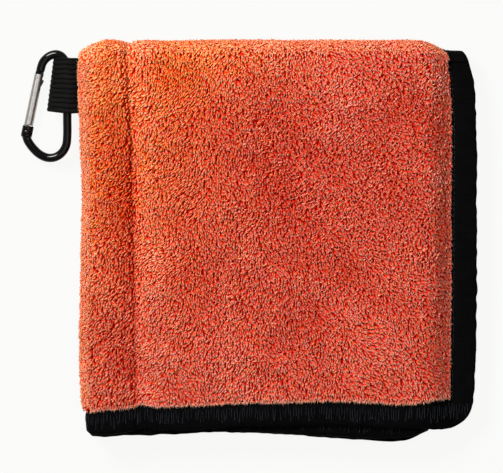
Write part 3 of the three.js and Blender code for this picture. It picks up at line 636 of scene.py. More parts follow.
def surface(half, u, y):
    """Centre of the cloth, the normal of its outer face, and its direction along the path, at u and y."""
    u, y = np.broadcast_arrays(np.asarray(u, float), np.asarray(y, float))
    x, z = half.at(u, "x"), half.at(u, "z")
    nx, nz = half.at(u, "nx"), half.at(u, "nz")
    tx, tz = half.at(u, "tx"), half.at(u, "tz")
    if half.front:
        near = bell(x, -59.8, 15)
        x = x + (crease_x(y) + 59.8) * near
        on_c = 1 - smooth(0.985, 1.0, u)
        dip = bell(x, crease_x(y), 1.7) * crease_depth(y) * on_c
        # the edge of the crease on the right stands up a little, the strip on the left is rounder
        bulge = 0.35 * bell(x, crease_x(y) + 8, 6) * on_c + 0.45 * bell(x, -73, 8) * on_c
        z = z - dip + bulge
        level = on_c * (1 - smooth(94, 101, x))
        z = z + level * (0.38 * WIDE(x, y) + 0.22 * SOFT(x, y))
        # near the top fold the cloth starts to turn over before the hinge line
        z = z - level * 0.5 * smooth(82, 92, y)
        # a slight slope down to the open edge
        z = z - level * 0.35 * smooth(-60, -92, y)
        sx = -dip * -2 * (x - crease_x(y)) / 1.7**2
        nx = nx - sx * nz * on_c * 0.8
        # the left edge's outline wanders slightly
        left = smooth(-78, -85, x)
        x = x + left * (left_in(y) + 0.28 * SOFT(y * 0.7, 3.0))
    else:
        left = smooth(-78, -85, x)
        x = x + left * (left_in(y) + 0.4 + 0.25 * SOFT(y * 0.7, 9.0))
    pos = np.stack([x, y, z], -1)
    nrm = unit(np.stack([nx, np.zeros_like(nx), nz], -1))
    tan = unit(np.stack([tx, np.zeros_like(tx), tz], -1))
    return pos, nrm, tan


# the top edge of the folded packet, seen from above, without the pile
top_line = curve_of([(-88, 93.4), (-85.5, 94.6), (-83, 96.0), (-80, 97.5), (-76, 99.0), (-72, 100.3), (-68, 101.4), (-64, 102.0), (-58, 102.1), (-52, 101.6), (-44, 101.0), (-20, 100.8), (0, 100.6),
                     (30, 100.7), (60, 100.5), (80, 100.3), (88, 99.8), (93, 98.7), (98.5, 96.8), (102, 95.9), (106, 95.6), (116, 95.0)])


def wrap(u, phi):
    """The cloth round the half fold: phi from -pi/2 on the back half to pi/2 on the front half."""
    u, phi = np.broadcast_arrays(np.asarray(u, float), np.asarray(phi, float))
    pb, nb, tb = surface(BACK, u, np.full(u.shape, HINGE_Y))
    pf, nf, tf = surface(FRONT, u, np.full(u.shape, HINGE_Y))
    w = (np.sin(phi) + 1) / 2
    r = (pf[..., 2] - pb[..., 2]) / 2
    zc = (pf[..., 2] + pb[..., 2]) / 2
    x = pb[..., 0] * (1 - w) + pf[..., 0] * w
    full = np.maximum(top_line(x) - HINGE_Y, 0.4) / 8.95
    # the inner panels turn inside the outer one
    share = np.minimum(1.0, full)
    y = HINGE_Y + r * np.cos(phi) * share
    z = zc + r * np.sin(phi)
    er = np.stack([np.zeros_like(phi), np.cos(phi), np.sin(phi) * np.maximum(share, 0.5)], -1)
    er = unit(er)
    a = -nb[..., 2] * (1 - w) + nf[..., 2] * w
    nx = nb[..., 0] * (1 - w) + nf[..., 0] * w
    nrm = unit(er * a[..., None] + np.stack([nx, 0 * nx, 0 * nx], -1))
    tan = unit(tb * (1 - w)[..., None] + tf * w[..., None])
    return np.stack([x, y, z], -1), nrm, tan


def path_columns(half, s0, s1, step):
    """u values along a stretch of the path, closer together round the folds."""
    out = [s0]
    s_fold = [(np.interp(1, half.u, half.s), np.interp(2, half.u, half.s)), (np.interp(3, half.u, half.s), np.interp(4, half.u, half.s))]
    s = s0
    while s < s1 - 1e-6:
        near = any(a - 2 < s < b + 2 for a, b in s_fold)
        s = min(s1, s + (min(step, 0.8) if near else step))
        out.append(s)
    return half.u_at_s(np.array(out))


# ------------------------------------------------------------------ ground cloth, in one sheet cut at the half fold
U_CLOTH0 = np.interp(-109.5, -FRONT.x[FRONT.u <= 1], FRONT.u[FRONT.u <= 1])


def cloth_half(half, name, body):
    u = path_columns(half, np.interp(U_CLOTH0, half.u, half.s), half.s[-1], 2.0)
    rows = 96
    x = half.at(u, "x")
    low = edge_low(half, u, x) + 5.5
    v = np.linspace(0, 1, rows)
    y = low[:, None] + (HINGE_Y - low)[:, None] * v[None, :]
    pos, nrm, _ = surface(half, np.repeat(u[:, None], rows, 1), y)
    thick = PILE_ROOT - 0.12 * (pos[..., 0] > 103)
    co, faces = shell(pos, nrm, thick)
    o = mesh_of(name, co, faces, GROUND)
    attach(o, body)
    return o


cloth_back = cloth_half(BACK, "fleece_cloth_back", "towel_back")
cloth_front = cloth_half(FRONT, "fleece_cloth_front", "towel_front")
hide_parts("fleece_back_half")
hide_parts("fleece_front_half")

# round the half fold, one strip for each panel, because each bends at its own radius
SPANS = {"c": (U_CLOTH0, 1.5, 3.25, 17.75), "b": (1.5, 3.5, 6.65, 14.35), "a": (3.5, 5.0, 10.1, 10.9)}


def blend_strip(o):
    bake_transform(o)


fold_strips = {}
for key, (u0, u1, z0, z1) in SPANS.items():
    s0, s1 = np.interp([u0, u1], FRONT.u, FRONT.s)
    u = path_columns(FRONT, s0, s1, 2.2)
    phi = np.linspace(-np.pi / 2, np.pi / 2, 22)
    pos, nrm, _ = wrap(u[:, None], phi[None, :])
    co, faces = shell(pos, nrm, PILE_ROOT)
    o = mesh_of(f"fleece_fold_{key}", co, faces, GROUND)
    fold_strips[key] = o
    blend_strip(o)
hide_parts("fleece_top_fold")


# ------------------------------------------------------------------ the pile
def painted_light_and_tone(x, y):
    """How light the outer face's pile is, as painted light and shade: lighter along the rounded left and top edges and
    on the lit lip beside the crease, painted shade in the crease and on its left, lighter or darker region by region,
    plus a little random tone.
    """
    xc = crease_x(y)
    upper = smooth(-95, 95, y)
    t = 0.42 + 0.05 * smooth(-40, -95, y)
    # painted light on the rounded left fold, the top edge and the lit right lip of the crease
    t = t + (0.16 + 0.08 * upper) * bell(x, -86, 7)
    t = t + 0.2 * bell(y, 99, 21) * (1 - 0.75 * smooth(0, 90, x))
    t = t + (0.12 + 0.17 * upper) * bell(x, xc + 8, 9)
    # painted shade on the crease's left side and down the crease itself
    t = t - 0.18 * bell(x, xc - 6, 6.5)
    t = t - 0.38 * bell(x, xc - 0.3, 1.4) * (0.45 + 0.55 * upper)
    t = t - 0.13 * bell(x, 45, 80) * bell(y, 25, 62) * smooth(88, 60, y)
    t = t + 0.08 * smooth(50, 100, x) * smooth(-20, -90, y)
    t = t + 0.07 * bell(x, 84, 30) * bell(y, -5, 60) - 0.1 * smooth(-66, -76, x) * smooth(-20, -60, y)
    t = t + 0.16 * bell(x, -65, 5) * smooth(40, 75, y) - 0.07 * bell(x, -50, 10) * smooth(-20, -60, y) - 0.06 * bell(x, 2, 45) * bell(y, 82, 14)
    return t + 0.05 * WIDE(x + 7, y - 3) + 0.035 * SOFT(x, y)


def region_warmth(x, y):
    """How far towards orange-yellow the pile leans: most at the upper left, least at the middle and right."""
    w = 0.12 + 0.75 * smooth(30, -75, x) * smooth(-90, 60, y) + 0.5 * bell(y, 100, 26) * smooth(90, -20, x)
    return w + 0.3 * bell(x, -86, 8)


def banded(tone, warmth, r):
    """Tone and warmth as one number: each tuft falls into a band of the ramp near its warmth."""
    band = np.clip(np.floor(np.clip(warmth, 0, 1) * (BANDS - 1) + r.uniform(0, 1, len(tone))), 0, BANDS - 1)
    return (band + np.clip(tone, 0.03, 0.97)) / BANDS


FLOW = Waves(31, 30)
FLOW2 = Waves(32, 11)


def tufts(name, pos, nrm, tan, tone, seed, heading, spread=0.34, length=2.95, height=1.5, width=1.22, sides=4, floor=False, ylift=None, warmth=0.35, slim=1.0, crop=1.0):
    """Tufts of pile rooted at pos. heading is the way each lies, as an angle from the path's direction towards +Y."""
    r = rng(seed)
    k = len(pos)
    # the second direction of the surface, towards +Y as far as the normal lets it
    side_y = np.cross(nrm, tan)
    flip = np.where((side_y @ np.array([0, 1.0, 0.0])) < 0, -1.0, 1.0)
    side_y = side_y * flip[:, None]
    ang = heading + r.normal(0, spread, k)
    d = np.cos(ang)[:, None] * tan + np.sin(ang)[:, None] * side_y
    q = np.cross(nrm, d)
    size = np.clip(r.normal(1, 0.17, k), 0.6, 1.45)
    ln = length * size * np.broadcast_to(1.0 if ylift is None else ylift, k) * crop
    ht = height * np.clip(r.normal(1, 0.14, k), 0.6, 1.35) * crop
    curl = r.normal(0, 0.26, k)
    t = np.array([0.0, 0.34, 0.68, 1.0])
    run = (0.1 * t + 0.9 * t**1.5)[None, :, None] * ln[:, None, None]
    rise = np.sin(np.minimum(t * 1.12, 1.0) * np.pi / 2)[None, :, None] * ht[:, None, None]
    bend = (t**2)[None, :, None] * (curl * ln * 0.45)[:, None, None]
    c = (pos + nrm * PILE_ROOT * 0.55)[:, None, :] + d[:, None, :] * run + nrm[:, None, :] * rise + q[:, None, :] * bend
    c = c - d[:, None, :] * (ln * 0.42)[:, None, None]
    w = width * np.clip(r.normal(1, 0.15, k), 0.65, 1.4) / 2 * slim
    prof = np.array([0.72, 1.08, 0.86, 0.0])
    rad = w[:, None] * prof[None, :]
    co, faces, along, per = strands(c, rad, nrm, sides)
    co[:, 2] = np.maximum(co[:, 2], 0.03)      # nothing goes under the table
    tv = banded(tone + r.normal(0, 0.085, k), np.broadcast_to(warmth, k), r)
    tv = np.repeat(tv, per)
    o = mesh_of(name, co, faces, PILE, attrs={"tone": tv, "along": along}, uv=np.stack([0.02 + 0.96 * along, 0.02 + 0.96 * tv], 1))
    return o


def scatter(half, s0, s1, y0_of, y1, step, seed):
    """Jittered rows of (u, y) over a stretch of the path, from the lower border up to y1."""
    r = rng(seed)
    ss = np.arange(s0 + step / 2, s1, step)
    yy = np.arange(-101, y1, step * 0.92)
    a, b = np.meshgrid(ss, yy, indexing="ij")
    b = b + (np.arange(len(ss)) % 2)[:, None] * step * 0.46
    a = a.ravel() + r.uniform(-0.42, 0.42, a.size) * step
    b = b.ravel() + r.uniform(-0.42, 0.42, b.size) * step
    a = np.clip(a, s0, s1)
    u = half.u_at_s(a)
    keep = (b > y0_of(u, half.at(u, "x"))) & (b < y1)
    return u[keep], b[keep]


def s_of_x(half, x, seg):
    """Path length where panel seg (0 C, 2 B, 4 A) passes x."""
    m = (half.u >= seg) & (half.u <= seg + 1)
    xs, ss = half.x[m], half.s[m]
    order = np.argsort(xs)
    return float(np.interp(x, xs[order], ss[order]))


END_EDGE = curve_of([(103, 98.6), (97, 99.4), (86, 101.6), (72, 103.0), (58, 103.5), (30, 103.3), (-30, 103.1), (-77, 102.4), (-95, 102.2)])  # border of the end binding, x by y

pile = []


def outer_front():
    """The outer face of the front half, from the end binding round the left fold, in strips."""
    s0, s1 = s_of_x(FRONT, 104.5, 0), np.interp(2.12, FRONT.u, FRONT.s)
    u, y = scatter(FRONT, s0, s1, lambda u, x: edge_border(FRONT, u, x) + 0.3, HINGE_Y + 0.15, 1.2, 101)
    pos, nrm, tan = surface(FRONT, u, y)
    keep = (pos[:, 0] < END_EDGE(y) - 1.1) | (u > 0.9)
    u, y, pos, nrm, tan = u[keep], y[keep], pos[keep], nrm[keep], tan[keep]
    x = pos[:, 0]
    # the tufts' tone carries the outer face's painted light and shade, plus random tone
    tone = painted_light_and_tone(x, y)
    warm = region_warmth(x, y)
    # the nap hangs in a fan from the top, with slow swirls; up on the right two ways cross
    r = rng(102)
    theta = -np.pi / 2 + math.radians(36) * np.clip(x / 62, -1, 1) + math.radians(24) * FLOW(x, y) + math.radians(9) * FLOW2(x, y)
    mixed = 0.07 + 0.27 * smooth(-30, 60, x) * smooth(-60, 30, y)
    theta = theta + np.where(r.uniform(0, 1, len(x)) < mixed, -2 * math.radians(36) * np.sign(x + 12), 0)
    vx, vy = np.cos(theta), np.sin(theta)
    low = y - border_c(x)
    gap = END_EDGE(y) - x
    hang = smooth(4.5, 1.0, low)
    vx, vy = vx * (1 - hang), vy * (1 - hang) - hang
    edge = smooth(3.0, 0.6, gap) * 0.8
    vx, vy = vx * (1 - edge) + 0.12 * edge, vy * (1 - edge) - edge
    part = bell(x, crease_x(y), 1.6) * smooth(-60, 0, y)
    vx, vy = vx * (1 - part), vy * (1 - part) - part
    ang = np.arctan2(vy, -vx)
    fringe = np.maximum(smooth(2.0, 0.5, low) * 0.16, smooth(1.2, 0.3, gap) * 0.1) * (u < 0.99)
    tone = tone + fringe
    lie = (1 - 0.3 * smooth(2.2, 0.6, low)) * (1 - 0.35 * smooth(1.6, 0.4, gap)) * (1 - 0.3 * part)
    slim = (1 - 0.32 * smooth(2.2, 0.6, low)) * (1 - 0.4 * smooth(1.6, 0.4, gap)) * (1 - 0.25 * part)
    # the bottom of the crease shows between its two lips
    open_line = (np.abs(x - crease_x(y)) < 0.72 * smooth(-80, 30, y)) & (u < 0.99)
    parts = [(-1e9, -48), (-48, -4), (-4, 34), (34, 70), (70, 1e9)]
    for i, (a, b) in enumerate(parts):
        m = (x >= a) & (x < b) & ~open_line
        o = tufts(f"pile_front_outer_{i + 1}", pos[m], nrm[m], tan[m], tone[m], 200 + i, ang[m], spread=0.21, ylift=lie[m], warmth=warm[m], slim=slim[m])
        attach(o, "towel_front")
        pile.append((o, cloth_front))
    # a fine fringe of pale tips over the two borders
    k = 1150
    xs = r.uniform(-84, 101.5, k)
    yy = border_c(xs) + r.uniform(0.1, 1.3, k)
    uf = np.interp(-xs, -FRONT.x[FRONT.u <= 1], FRONT.u[FRONT.u <= 1])
    ye = r.uniform(-80, 91, 700)
    xe = END_EDGE(ye) - r.uniform(1.0, 1.8, 700)
    ue = np.interp(-xe, -FRONT.x[FRONT.u <= 1], FRONT.u[FRONT.u <= 1])
    uf, yy = np.concatenate([uf, ue]), np.concatenate([yy, ye])
    pos, nrm, tan = surface(FRONT, uf, yy)
    ang = np.concatenate([np.full(k, -np.pi / 2), np.full(700, -np.pi * 0.62)]) + r.normal(0, 0.3, k + 700)
    tone = np.concatenate([np.full(k, 0.68), np.full(700, 0.56)])
    o = tufts("pile_front_fringe", pos, nrm, tan, tone, 230, ang, spread=0.2, length=2.3, height=1.2, width=0.55, warmth=0.25, ylift=rng(231).uniform(0.55, 1.45, k + 700))
    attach(o, "towel_front")
    pile.append((o, cloth_front))


def halo_left():
    """Fine pale fibres standing out from the left fold, that blur its outline."""
    r = rng(240)
    k = 5200
    u = r.uniform(0.93, 1.62, k)
    y = r.uniform(-84, 91, k)
    pos, nrm, tan = surface(FRONT, u, y)
    ang = np.arctan2(-1.0, r.normal(0, 0.8, k)) + (r.uniform(0, 1, k) < 0.25) * np.pi
    o = tufts("pile_front_halo", pos, nrm, tan, np.full(k, 0.8), 241, ang, spread=0.5, length=1.7, height=2.15, width=0.42, sides=3, warmth=0.75)
    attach(o, "towel_front")
    pile.append((o, cloth_front))


def halo_top():
    r = rng(242)
    k = 4200
    u = FRONT.u_at_s(r.uniform(s_of_x(FRONT, 99, 0), np.interp(1.5, FRONT.u, FRONT.s), k))
    phi = r.uniform(-0.5, 1.15, k)
    pos, nrm, tan = wrap(u, phi)
    keep = (pos[:, 0] < END_EDGE(pos[:, 1]) - 0.6) | (u > 0.9)
    u, pos, nrm, tan = u[keep], pos[keep], nrm[keep], tan[keep]
    ang = r.uniform(-np.pi, np.pi, len(u))
    o = tufts("pile_fold_halo", pos, nrm, tan, np.full(len(u), 0.72), 243, ang, spread=0.5, length=1.7, height=2.0, width=0.42, sides=3, warmth=0.8)
    blend_strip(o)
    pile.append((o, fold_strips["c"]))


def plain_face(half, side, s0, s1, step, name, seed, body, host, sides=3, tone0=0.42, floor=False, upto=HINGE_Y - 0.7, under_strap=False, **kw):
    """Pile on a stretch of one face. side 1 is the outer face and -1 the other."""
    u, y = scatter(half, s0, s1, lambda u, x: edge_border(half, u, x) + 0.2, upto, step, seed)
    pos, nrm, tan = surface(half, u, y)
    nrm = nrm * side
    x = pos[:, 0]
    tone = tone0 + 0.06 * WIDE(x, y) + 0.05 * SOFT(x, y + 40)
    ang = np.arctan2((y - 10) / 90 + 0.6 * FLOW(x, y + 90), 0.8 * FLOW(x + 60, y)) + FLOW2(x, y) * 0.8
    low = y - edge_border(half, u, x)
    hang = smooth(6.0, 1.5, low)
    ang = np.arctan2(np.sin(ang) * (1 - hang) - hang, np.cos(ang) * (1 - hang))
    tone = tone + 0.35 * smooth(3.0, 0.8, low)
    n = len(u)
    crop = 1 - 0.6 * smooth(60, 64, y) * under_strap
    per = 11000 if sides == 3 else 8500
    count = max(1, math.ceil(n / per))
    order = np.argsort(x, kind="stable")
    for i, idx in enumerate(np.array_split(order, count)):
        o = tufts(f"{name}_{i + 1}" if count > 1 else name, pos[idx], nrm[idx], tan[idx], tone[idx], seed + 7 + i, ang[idx], sides=sides, floor=floor, spread=0.5, crop=crop[idx], **kw)
        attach(o, body)
        pile.append((o, host))


def fold_face(key, side, u0, u1, step, name, seed, sides=4, phi0=-np.pi / 2, phi1=np.pi / 2, **kw):
    r = rng(seed)
    s0, s1 = np.interp([u0, u1], FRONT.u, FRONT.s)
    ss = np.arange(s0 + step / 2, s1, step)
    reach = {"c": 8.95, "b": 5.45, "a": 1.95}[key]
    pp = np.arange(phi0, phi1, step * 0.92 / reach)
    a, b = np.meshgrid(ss, pp, indexing="ij")
    b = b + (np.arange(len(ss)) % 2)[:, None] * step * 0.46 / reach
    a = a.ravel() + r.uniform(-0.42, 0.42, a.size) * step
    b = b.ravel() + r.uniform(-0.42, 0.42, b.size) * step / reach
    u = FRONT.u_at_s(np.clip(a, s0, s1))
    b = np.clip(b, -np.pi / 2, np.pi / 2)
    pos, nrm, tan = wrap(u, b)
    x, y = pos[:, 0], pos[:, 1]
    keep = (x < END_EDGE(y) - 0.2) | (u > 0.9)
    u, b, pos, nrm, tan, x, y = u[keep], b[keep], pos[keep], nrm[keep] * side, tan[keep], x[keep], y[keep]
    # on the front part of the fold the tone carries the outer face's painted light and shade
    tone = painted_light_and_tone(x, np.maximum(y, 90)) * (b > 0) + (0.45 + 0.04 * SOFT(x, b * 9)) * (b <= 0)
    theta = -np.pi / 2 + math.radians(36) * np.clip(x / 62, -1, 1) + math.radians(26) * FLOW(x, y)
    level = bell(b, 0, 0.95)
    sway = np.where(rng(seed + 1).uniform(0, 1, len(u)) < 0.5, 1.0, -1.0)
    ang = np.arctan2(np.sin(theta) * (1 - level), -np.cos(theta) * (1 - level) + sway * level)
    kw["ylift"] = 1 - 0.25 * level
    warm = region_warmth(x, np.maximum(y, 90)) * (b > 0) + 0.35 * (b <= 0)
    o = tufts(name, pos, nrm, tan, tone, seed + 5, ang, sides=sides, warmth=warm, **kw)
    blend_strip(o)
    pile.append((o, fold_strips[key]))


outer_front()
halo_left()
halo_top()
s_f2 = lambda half, u: float(np.interp(u, half.u, half.s))
# outer face of the back half: underneath, and round its left fold
plain_face(BACK, 1, s_of_x(BACK, 103, 0), s_of_x(BACK, -77, 0), 1.9, "pile_back_under", 300, "towel_back", cloth_back, width=1.7, length=3.6, height=0.95, floor=True)
plain_face(BACK, 1, s_of_x(BACK, -77, 0), s_f2(BACK, 2.12), 1.3, "pile_back_left_fold", 320, "towel_back", cloth_back, sides=4, floor=True, tone0=0.48, under_strap=True)
# the faces that show when the towel is opened at the half fold
plain_face(BACK, -1, s_of_x(BACK, 88.7, 4), s_of_x(BACK, -41.5, 4), 1.36, "pile_back_inner", 340, "towel_back", cloth_back, height=1.0, sides=4)
plain_face(FRONT, -1, s_of_x(FRONT, 88.7, 4), s_of_x(FRONT, -41.5, 4), 1.75, "pile_front_inner", 360, "towel_front", cloth_front, width=1.6, length=3.5, height=1.0)
plain_face(BACK, -1, s_f2(BACK, 2.97), s_f2(BACK, 4.0), 1.4, "pile_back_right_fold", 380, "towel_back", cloth_back, height=1.2)
plain_face(FRONT, -1, s_f2(FRONT, 2.97), s_f2(FRONT, 4.0), 1.4, "pile_front_right_fold", 390, "towel_front", cloth_front, height=1.2)
plain_face(BACK, -1, s_of_x(BACK, 103, 0), s_of_x(BACK, 86, 0), 1.5, "pile_back_end_inner", 400, "towel_back", cloth_back, height=1.1)
plain_face(FRONT, -1, s_of_x(FRONT, 103, 0), s_of_x(FRONT, 88, 0), 1.5, "pile_front_end_inner", 410, "towel_front", cloth_front, height=0.9)
plain_face(BACK, 1, s_f2(BACK, 2.0), s_of_x(BACK, -56.5, 2), 1.4, "pile_back_inner_left", 420, "towel_back", cloth_back, height=1.2)
plain_face(FRONT, 1, s_f2(FRONT, 2.0), s_of_x(FRONT, -56.5, 2), 1.5, "pile_front_inner_left", 430, "towel_front", cloth_front, height=0.9)
fold_face("c", 1, np.interp(s_of_x(FRONT, 103.5, 0), FRONT.s, FRONT.u), 1.5, 1.2, "pile_fold_outer", 440)
fold_face("b", 1, 1.5, 2.12, 1.5, "pile_fold_left", 450, sides=3, height=1.2)
fold_face("a", -1, 3.5, 5.0, 1.8, "pile_fold_inner", 460, sides=3, height=0.4, length=2.4)


# ------------------------------------------------------------------ bindings
def tape_outline(n_side=11, n_nose=7):
    """(across 0 border to 1 edge, half thickness factor) round the tape's section, both faces and the folded edge."""
    b = np.linspace(0, 1, n_side) ** 0.9 * 0.9
    top = [(v, 1.0, 0) for v in b]
    nose = [(0.9 + 0.1 * math.sin(a), math.cos(a), 1) for a in np.linspace(0, math.pi, n_nose)[1:-1]]
    under = [(v, -1.0, 0) for v in b[::-1]]
    return np.array(top + nose + under)


OUTLINE = tape_outline()
GATHER = Ripple(71, 1.75, 12)
GATHER2 = Ripple(72, 3.4, 9)
PUCKER = Ripple(73, 17, 9)
EDGE = Ripple(74, 26, 9)
EDGE2 = Ripple(75, 7, 9)


def tape_half(b, s, phase, gathers=1.0, body=1.0):
    """Half thickness over the tape: gathered where it is sewn, full towards its folded edge."""
    h = 1.02 + 0.33 * np.sin(np.pi * np.clip(b, 0, 1)) * body
    h = h - 0.34 * bell(b, 0.13, 0.06)
    pleat = np.clip(0.65 * GATHER(s + phase) + 0.5 * GATHER2(s * 1.03 + phase), -1.2, 1.2)
    h = h + 0.15 * gathers * pleat * (1 - smooth(0.68, 0.95, b)) * smooth(0.08, 0.24, b)
    h = h + 0.16 * PUCKER(s + phase * 2) * smooth(0.2, 0.8, b)
    return h


def capped(grid_n, ring_n, co, flip=False):
    """Faces of a tube of grid_n rings of ring_n points, its ends closed."""
    f = grid_faces(grid_n, ring_n, wrap_v=True)
    ends = [np.arange(ring_n)[None, :], ((grid_n - 1) * ring_n + np.arange(ring_n))[::-1][None, :]]
    p = co.reshape(-1, 3)
    mid = (grid_n - 1) // 2
    q = f[mid * ring_n + 2]
    centre = p[mid * ring_n : (mid + 2) * ring_n].mean(0)
    nn = np.cross(p[q[1]] - p[q[0]], p[q[2]] - p[q[0]])
    if np.dot(nn, p[q].mean(0) - centre) < 0:
        f = f[:, ::-1]
    else:
        ends = [e[:, ::-1] for e in ends]
    return [f, *ends]


def lower_binding(half, name, body, phase):
    s0 = s_of_x(half, 113.9, 0)
    u = path_columns(half, s0, half.s[-1] - 1.0, 0.55)
    s = half.at(u, "s")
    x = half.at(u, "x")
    yb, yl = edge_border(half, u, x) + 1.1, edge_low(half, u, x)
    yl = yl + 0.22 * EDGE(s + phase) + 0.12 * EDGE2(s + phase)
    m = len(OUTLINE)
    b, side, nose = OUTLINE.T
    y = yb[:, None] + (yl - yb)[:, None] * b[None, :]
    pos, nrm, _ = surface(half, np.repeat(u[:, None], m, 1), y)
    # the tape doesn't follow the pile's small waves
    h = tape_half(b[None, :], s[:, None], phase + 40 * (side[None, :] < 0))
    squeeze = smooth(0.0, 4.0, (yb - yl))[:, None]
    corner = 1 - 0.35 * smooth(104, 113.9, x)[:, None]
    co = pos + nrm * (h * side[None, :] * squeeze * corner)[..., None]
    co[..., 2] = np.maximum(co[..., 2], 0.12)
    o = mesh_of(name, co.reshape(-1, 3), capped(len(u), m, co), TAPE)
    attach(o, body)
    # overcast threads down the gathered part of both faces
    k = np.arange(s[0] + 3, s[-1] - 1, 1.3)
    r = rng(int(phase) + 5)
    k = (k + r.uniform(-0.26, 0.26, len(k)))[r.uniform(0, 1, len(k)) > 0.09]
    ku = half.u_at_s(k)
    kx = half.at(ku, "x")
    kb, kl = edge_border(half, ku, kx) + 1.1, edge_low(half, ku, kx)
    rows = np.linspace(0.27, 0.72, 5)
    pieces, ups = [], []
    for sd in (1, -1):
        uu = np.repeat(ku[:, None], 5, 1)
        lean = r.uniform(-0.8, 0.8, len(k))[:, None] * np.linspace(-0.5, 0.5, 5)[None, :]
        uu = half.u_at_s(half.at(uu, "s") + lean)
        yy = kb[:, None] + (kl - kb)[:, None] * (rows[None, :] * r.uniform(0.8, 1.1, len(k))[:, None] + r.uniform(-0.05, 0.05, len(k))[:, None])
        p, n, _ = surface(half, uu, yy)
        hh = tape_half(rows[None, :] * np.ones_like(uu), half.at(uu, "s"), phase + 40 * (sd < 0))
        lift = np.array([-0.12, 0.05, 0.09, 0.05, -0.12])[None, :]
        corner = 1 - 0.35 * smooth(104, 113.9, kx)[:, None]
        pieces.append(p + n * sd * (hh * corner + lift)[..., None])
        ups.append(n[:, 2] * sd)
    pts, up = np.concatenate(pieces), np.concatenate(ups)
    tube, faces, _, _ = strands(pts, np.repeat(rng(9).uniform(0.11, 0.19, len(pts))[:, None], pts.shape[1], 1), up, 5, pointed=False)
    tube[:, 2] = np.maximum(tube[:, 2], 0.05)
    t = mesh_of(name + "_stitching", tube, faces, THREAD)
    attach(t, body)
    return o, t


low_back, low_back_thread = lower_binding(BACK, "lower_binding_tape_back", "towel_back", 300.0)
low_front, low_front_thread = lower_binding(FRONT, "lower_binding_tape_front", "towel_front", 17.0)
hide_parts("lower_binding_back")
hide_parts("lower_binding_front")
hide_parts("lower_seam_thread_back")
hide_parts("lower_seam_thread_front")

END_OUT = curve_of([(99, 106.5), (96.5, 108.6), (94.5, 110.3), (90, 112.2), (81, 114.3), (70, 115.2), (56, 115.8), (20, 115.9), (-30, 115.9), (-58, 115.4), (-72, 114.9), (-79, 114.3), (-84, 113.4), (-92, 110.5)])


def end_surface(yy, phi=None, half=None):
    """Only gives back yy when phi is None; the border x, outer x, centre y and z and the way out of the tape along the
    end binding are not worked out.
    """
    if phi is None:
        y = yy
        z = None
    return y


def end_binding(half, name, body, phase):
    y = np.arange(-84.0, HINGE_Y + 0.01, 0.6)
    y[-1] = HINGE_Y
    m = len(OUTLINE)
    b, side, nose = OUTLINE.T
    xb, xo = END_EDGE(y) - 0.7, END_OUT(y) + 0.2 * EDGE(y + phase) + 0.14 * EDGE2(y * 1.1 + phase)
    x = xb[:, None] + (xo - xb)[:, None] * b[None, :]
    if half.front:
        k = half.u <= 0.3
        zc = np.interp(-x, -half.x[k], half.z[k])
    else:
        zc = np.full(x.shape, C_BACK)
    h = tape_half(b[None, :], y[:, None], phase + 40 * (side[None, :] < 0), gathers=0.45)
    z = zc + h * side[None, :]
    z = np.maximum(z, 0.12)
    co = np.stack([x, np.repeat(y[:, None], m, 1), z], -1)
    o = mesh_of(name, co.reshape(-1, 3), capped(len(y), m, co), TAPE)
    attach(o, body)
    # one row of lock stitches beside the border, on both faces
    k = np.arange(-80, HINGE_Y - 1.5, 2.9)
    t = np.linspace(-0.5, 0.5, 7)
    pieces, ups = [], []
    for sd in (1, -1):
        yy = k[:, None] + t[None, :] * 2.5
        bb = 0.13
        xx = END_EDGE(yy) - 0.7 + (END_OUT(yy) - END_EDGE(yy) + 0.7) * bb
        if half.front:
            kk = half.u <= 0.3
            zz = np.interp(-xx, -half.x[kk], half.z[kk])
        else:
            zz = np.full(xx.shape, C_BACK)
        hh = tape_half(np.full(xx.shape, bb), yy, phase + 40 * (sd < 0), gathers=0.45)
        lift = 0.13 - 0.42 * (2 * t[None, :]) ** 4
        pieces.append(np.stack([xx, yy, zz + sd * (hh + lift)], -1))
        ups.append(np.tile([0.0, 0.0, float(sd)], (len(k), 1)))
    pts, up = np.concatenate(pieces), np.concatenate(ups)
    tube, faces, _, _ = strands(pts, np.full(pts.shape[:2], 0.2), up, 6, pointed=False)
    tube[:, 2] = np.maximum(tube[:, 2], 0.03)
    th = mesh_of(name + "_stitching", tube, faces, THREAD)
    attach(th, body)
    return o, th


end_back, end_back_thread = end_binding(BACK, "end_binding_tape_back", "towel_back", 500.0)
end_front, end_front_thread = end_binding(FRONT, "end_binding_tape_front", "towel_front", 640.0)
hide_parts("end_binding_back")
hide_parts("end_binding_front")
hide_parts("end_seam_thread_back")
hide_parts("end_seam_thread_front")


def end_fold():
    """The end binding round the half fold, its outer corner rounded."""
    phi = np.linspace(-np.pi / 2, np.pi / 2, 34)
    m = len(OUTLINE)
    b, side, nose = OUTLINE.T
    yy = HINGE_Y + 4.48 * np.cos(phi)
    w = (np.sin(phi) + 1) / 2
    xb, xo = END_EDGE(yy) - 0.7, END_OUT(yy)
    x = xb[:, None] + (xo - xb)[:, None] * b[None, :]
    k = FRONT.u <= 0.3
    zf = np.interp(-x, -FRONT.x[k], FRONT.z[k])
    zc, r = (zf + C_BACK) / 2, (zf - C_BACK) / 2
    h = tape_half(b[None, :], yy[:, None], 640.0 * w[:, None] + 500.0 * (1 - w[:, None]), gathers=0.3)
    rr = r + h * side[None, :]
    cy, sy = np.cos(phi)[:, None], np.sin(phi)[:, None]
    full = np.maximum(top_line(x) - HINGE_Y, 0.4) / 8.95 * 0 + 1.0
    y = HINGE_Y + rr * cy * full
    z = zc + rr * sy
    co = np.stack([x, y, z], -1)
    o = mesh_of("end_binding_tape_fold", co.reshape(-1, 3), capped(len(phi), m, co), TAPE)
    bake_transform(o)
    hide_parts("end_binding_top_fold")
    return o


end_top = end_fold()


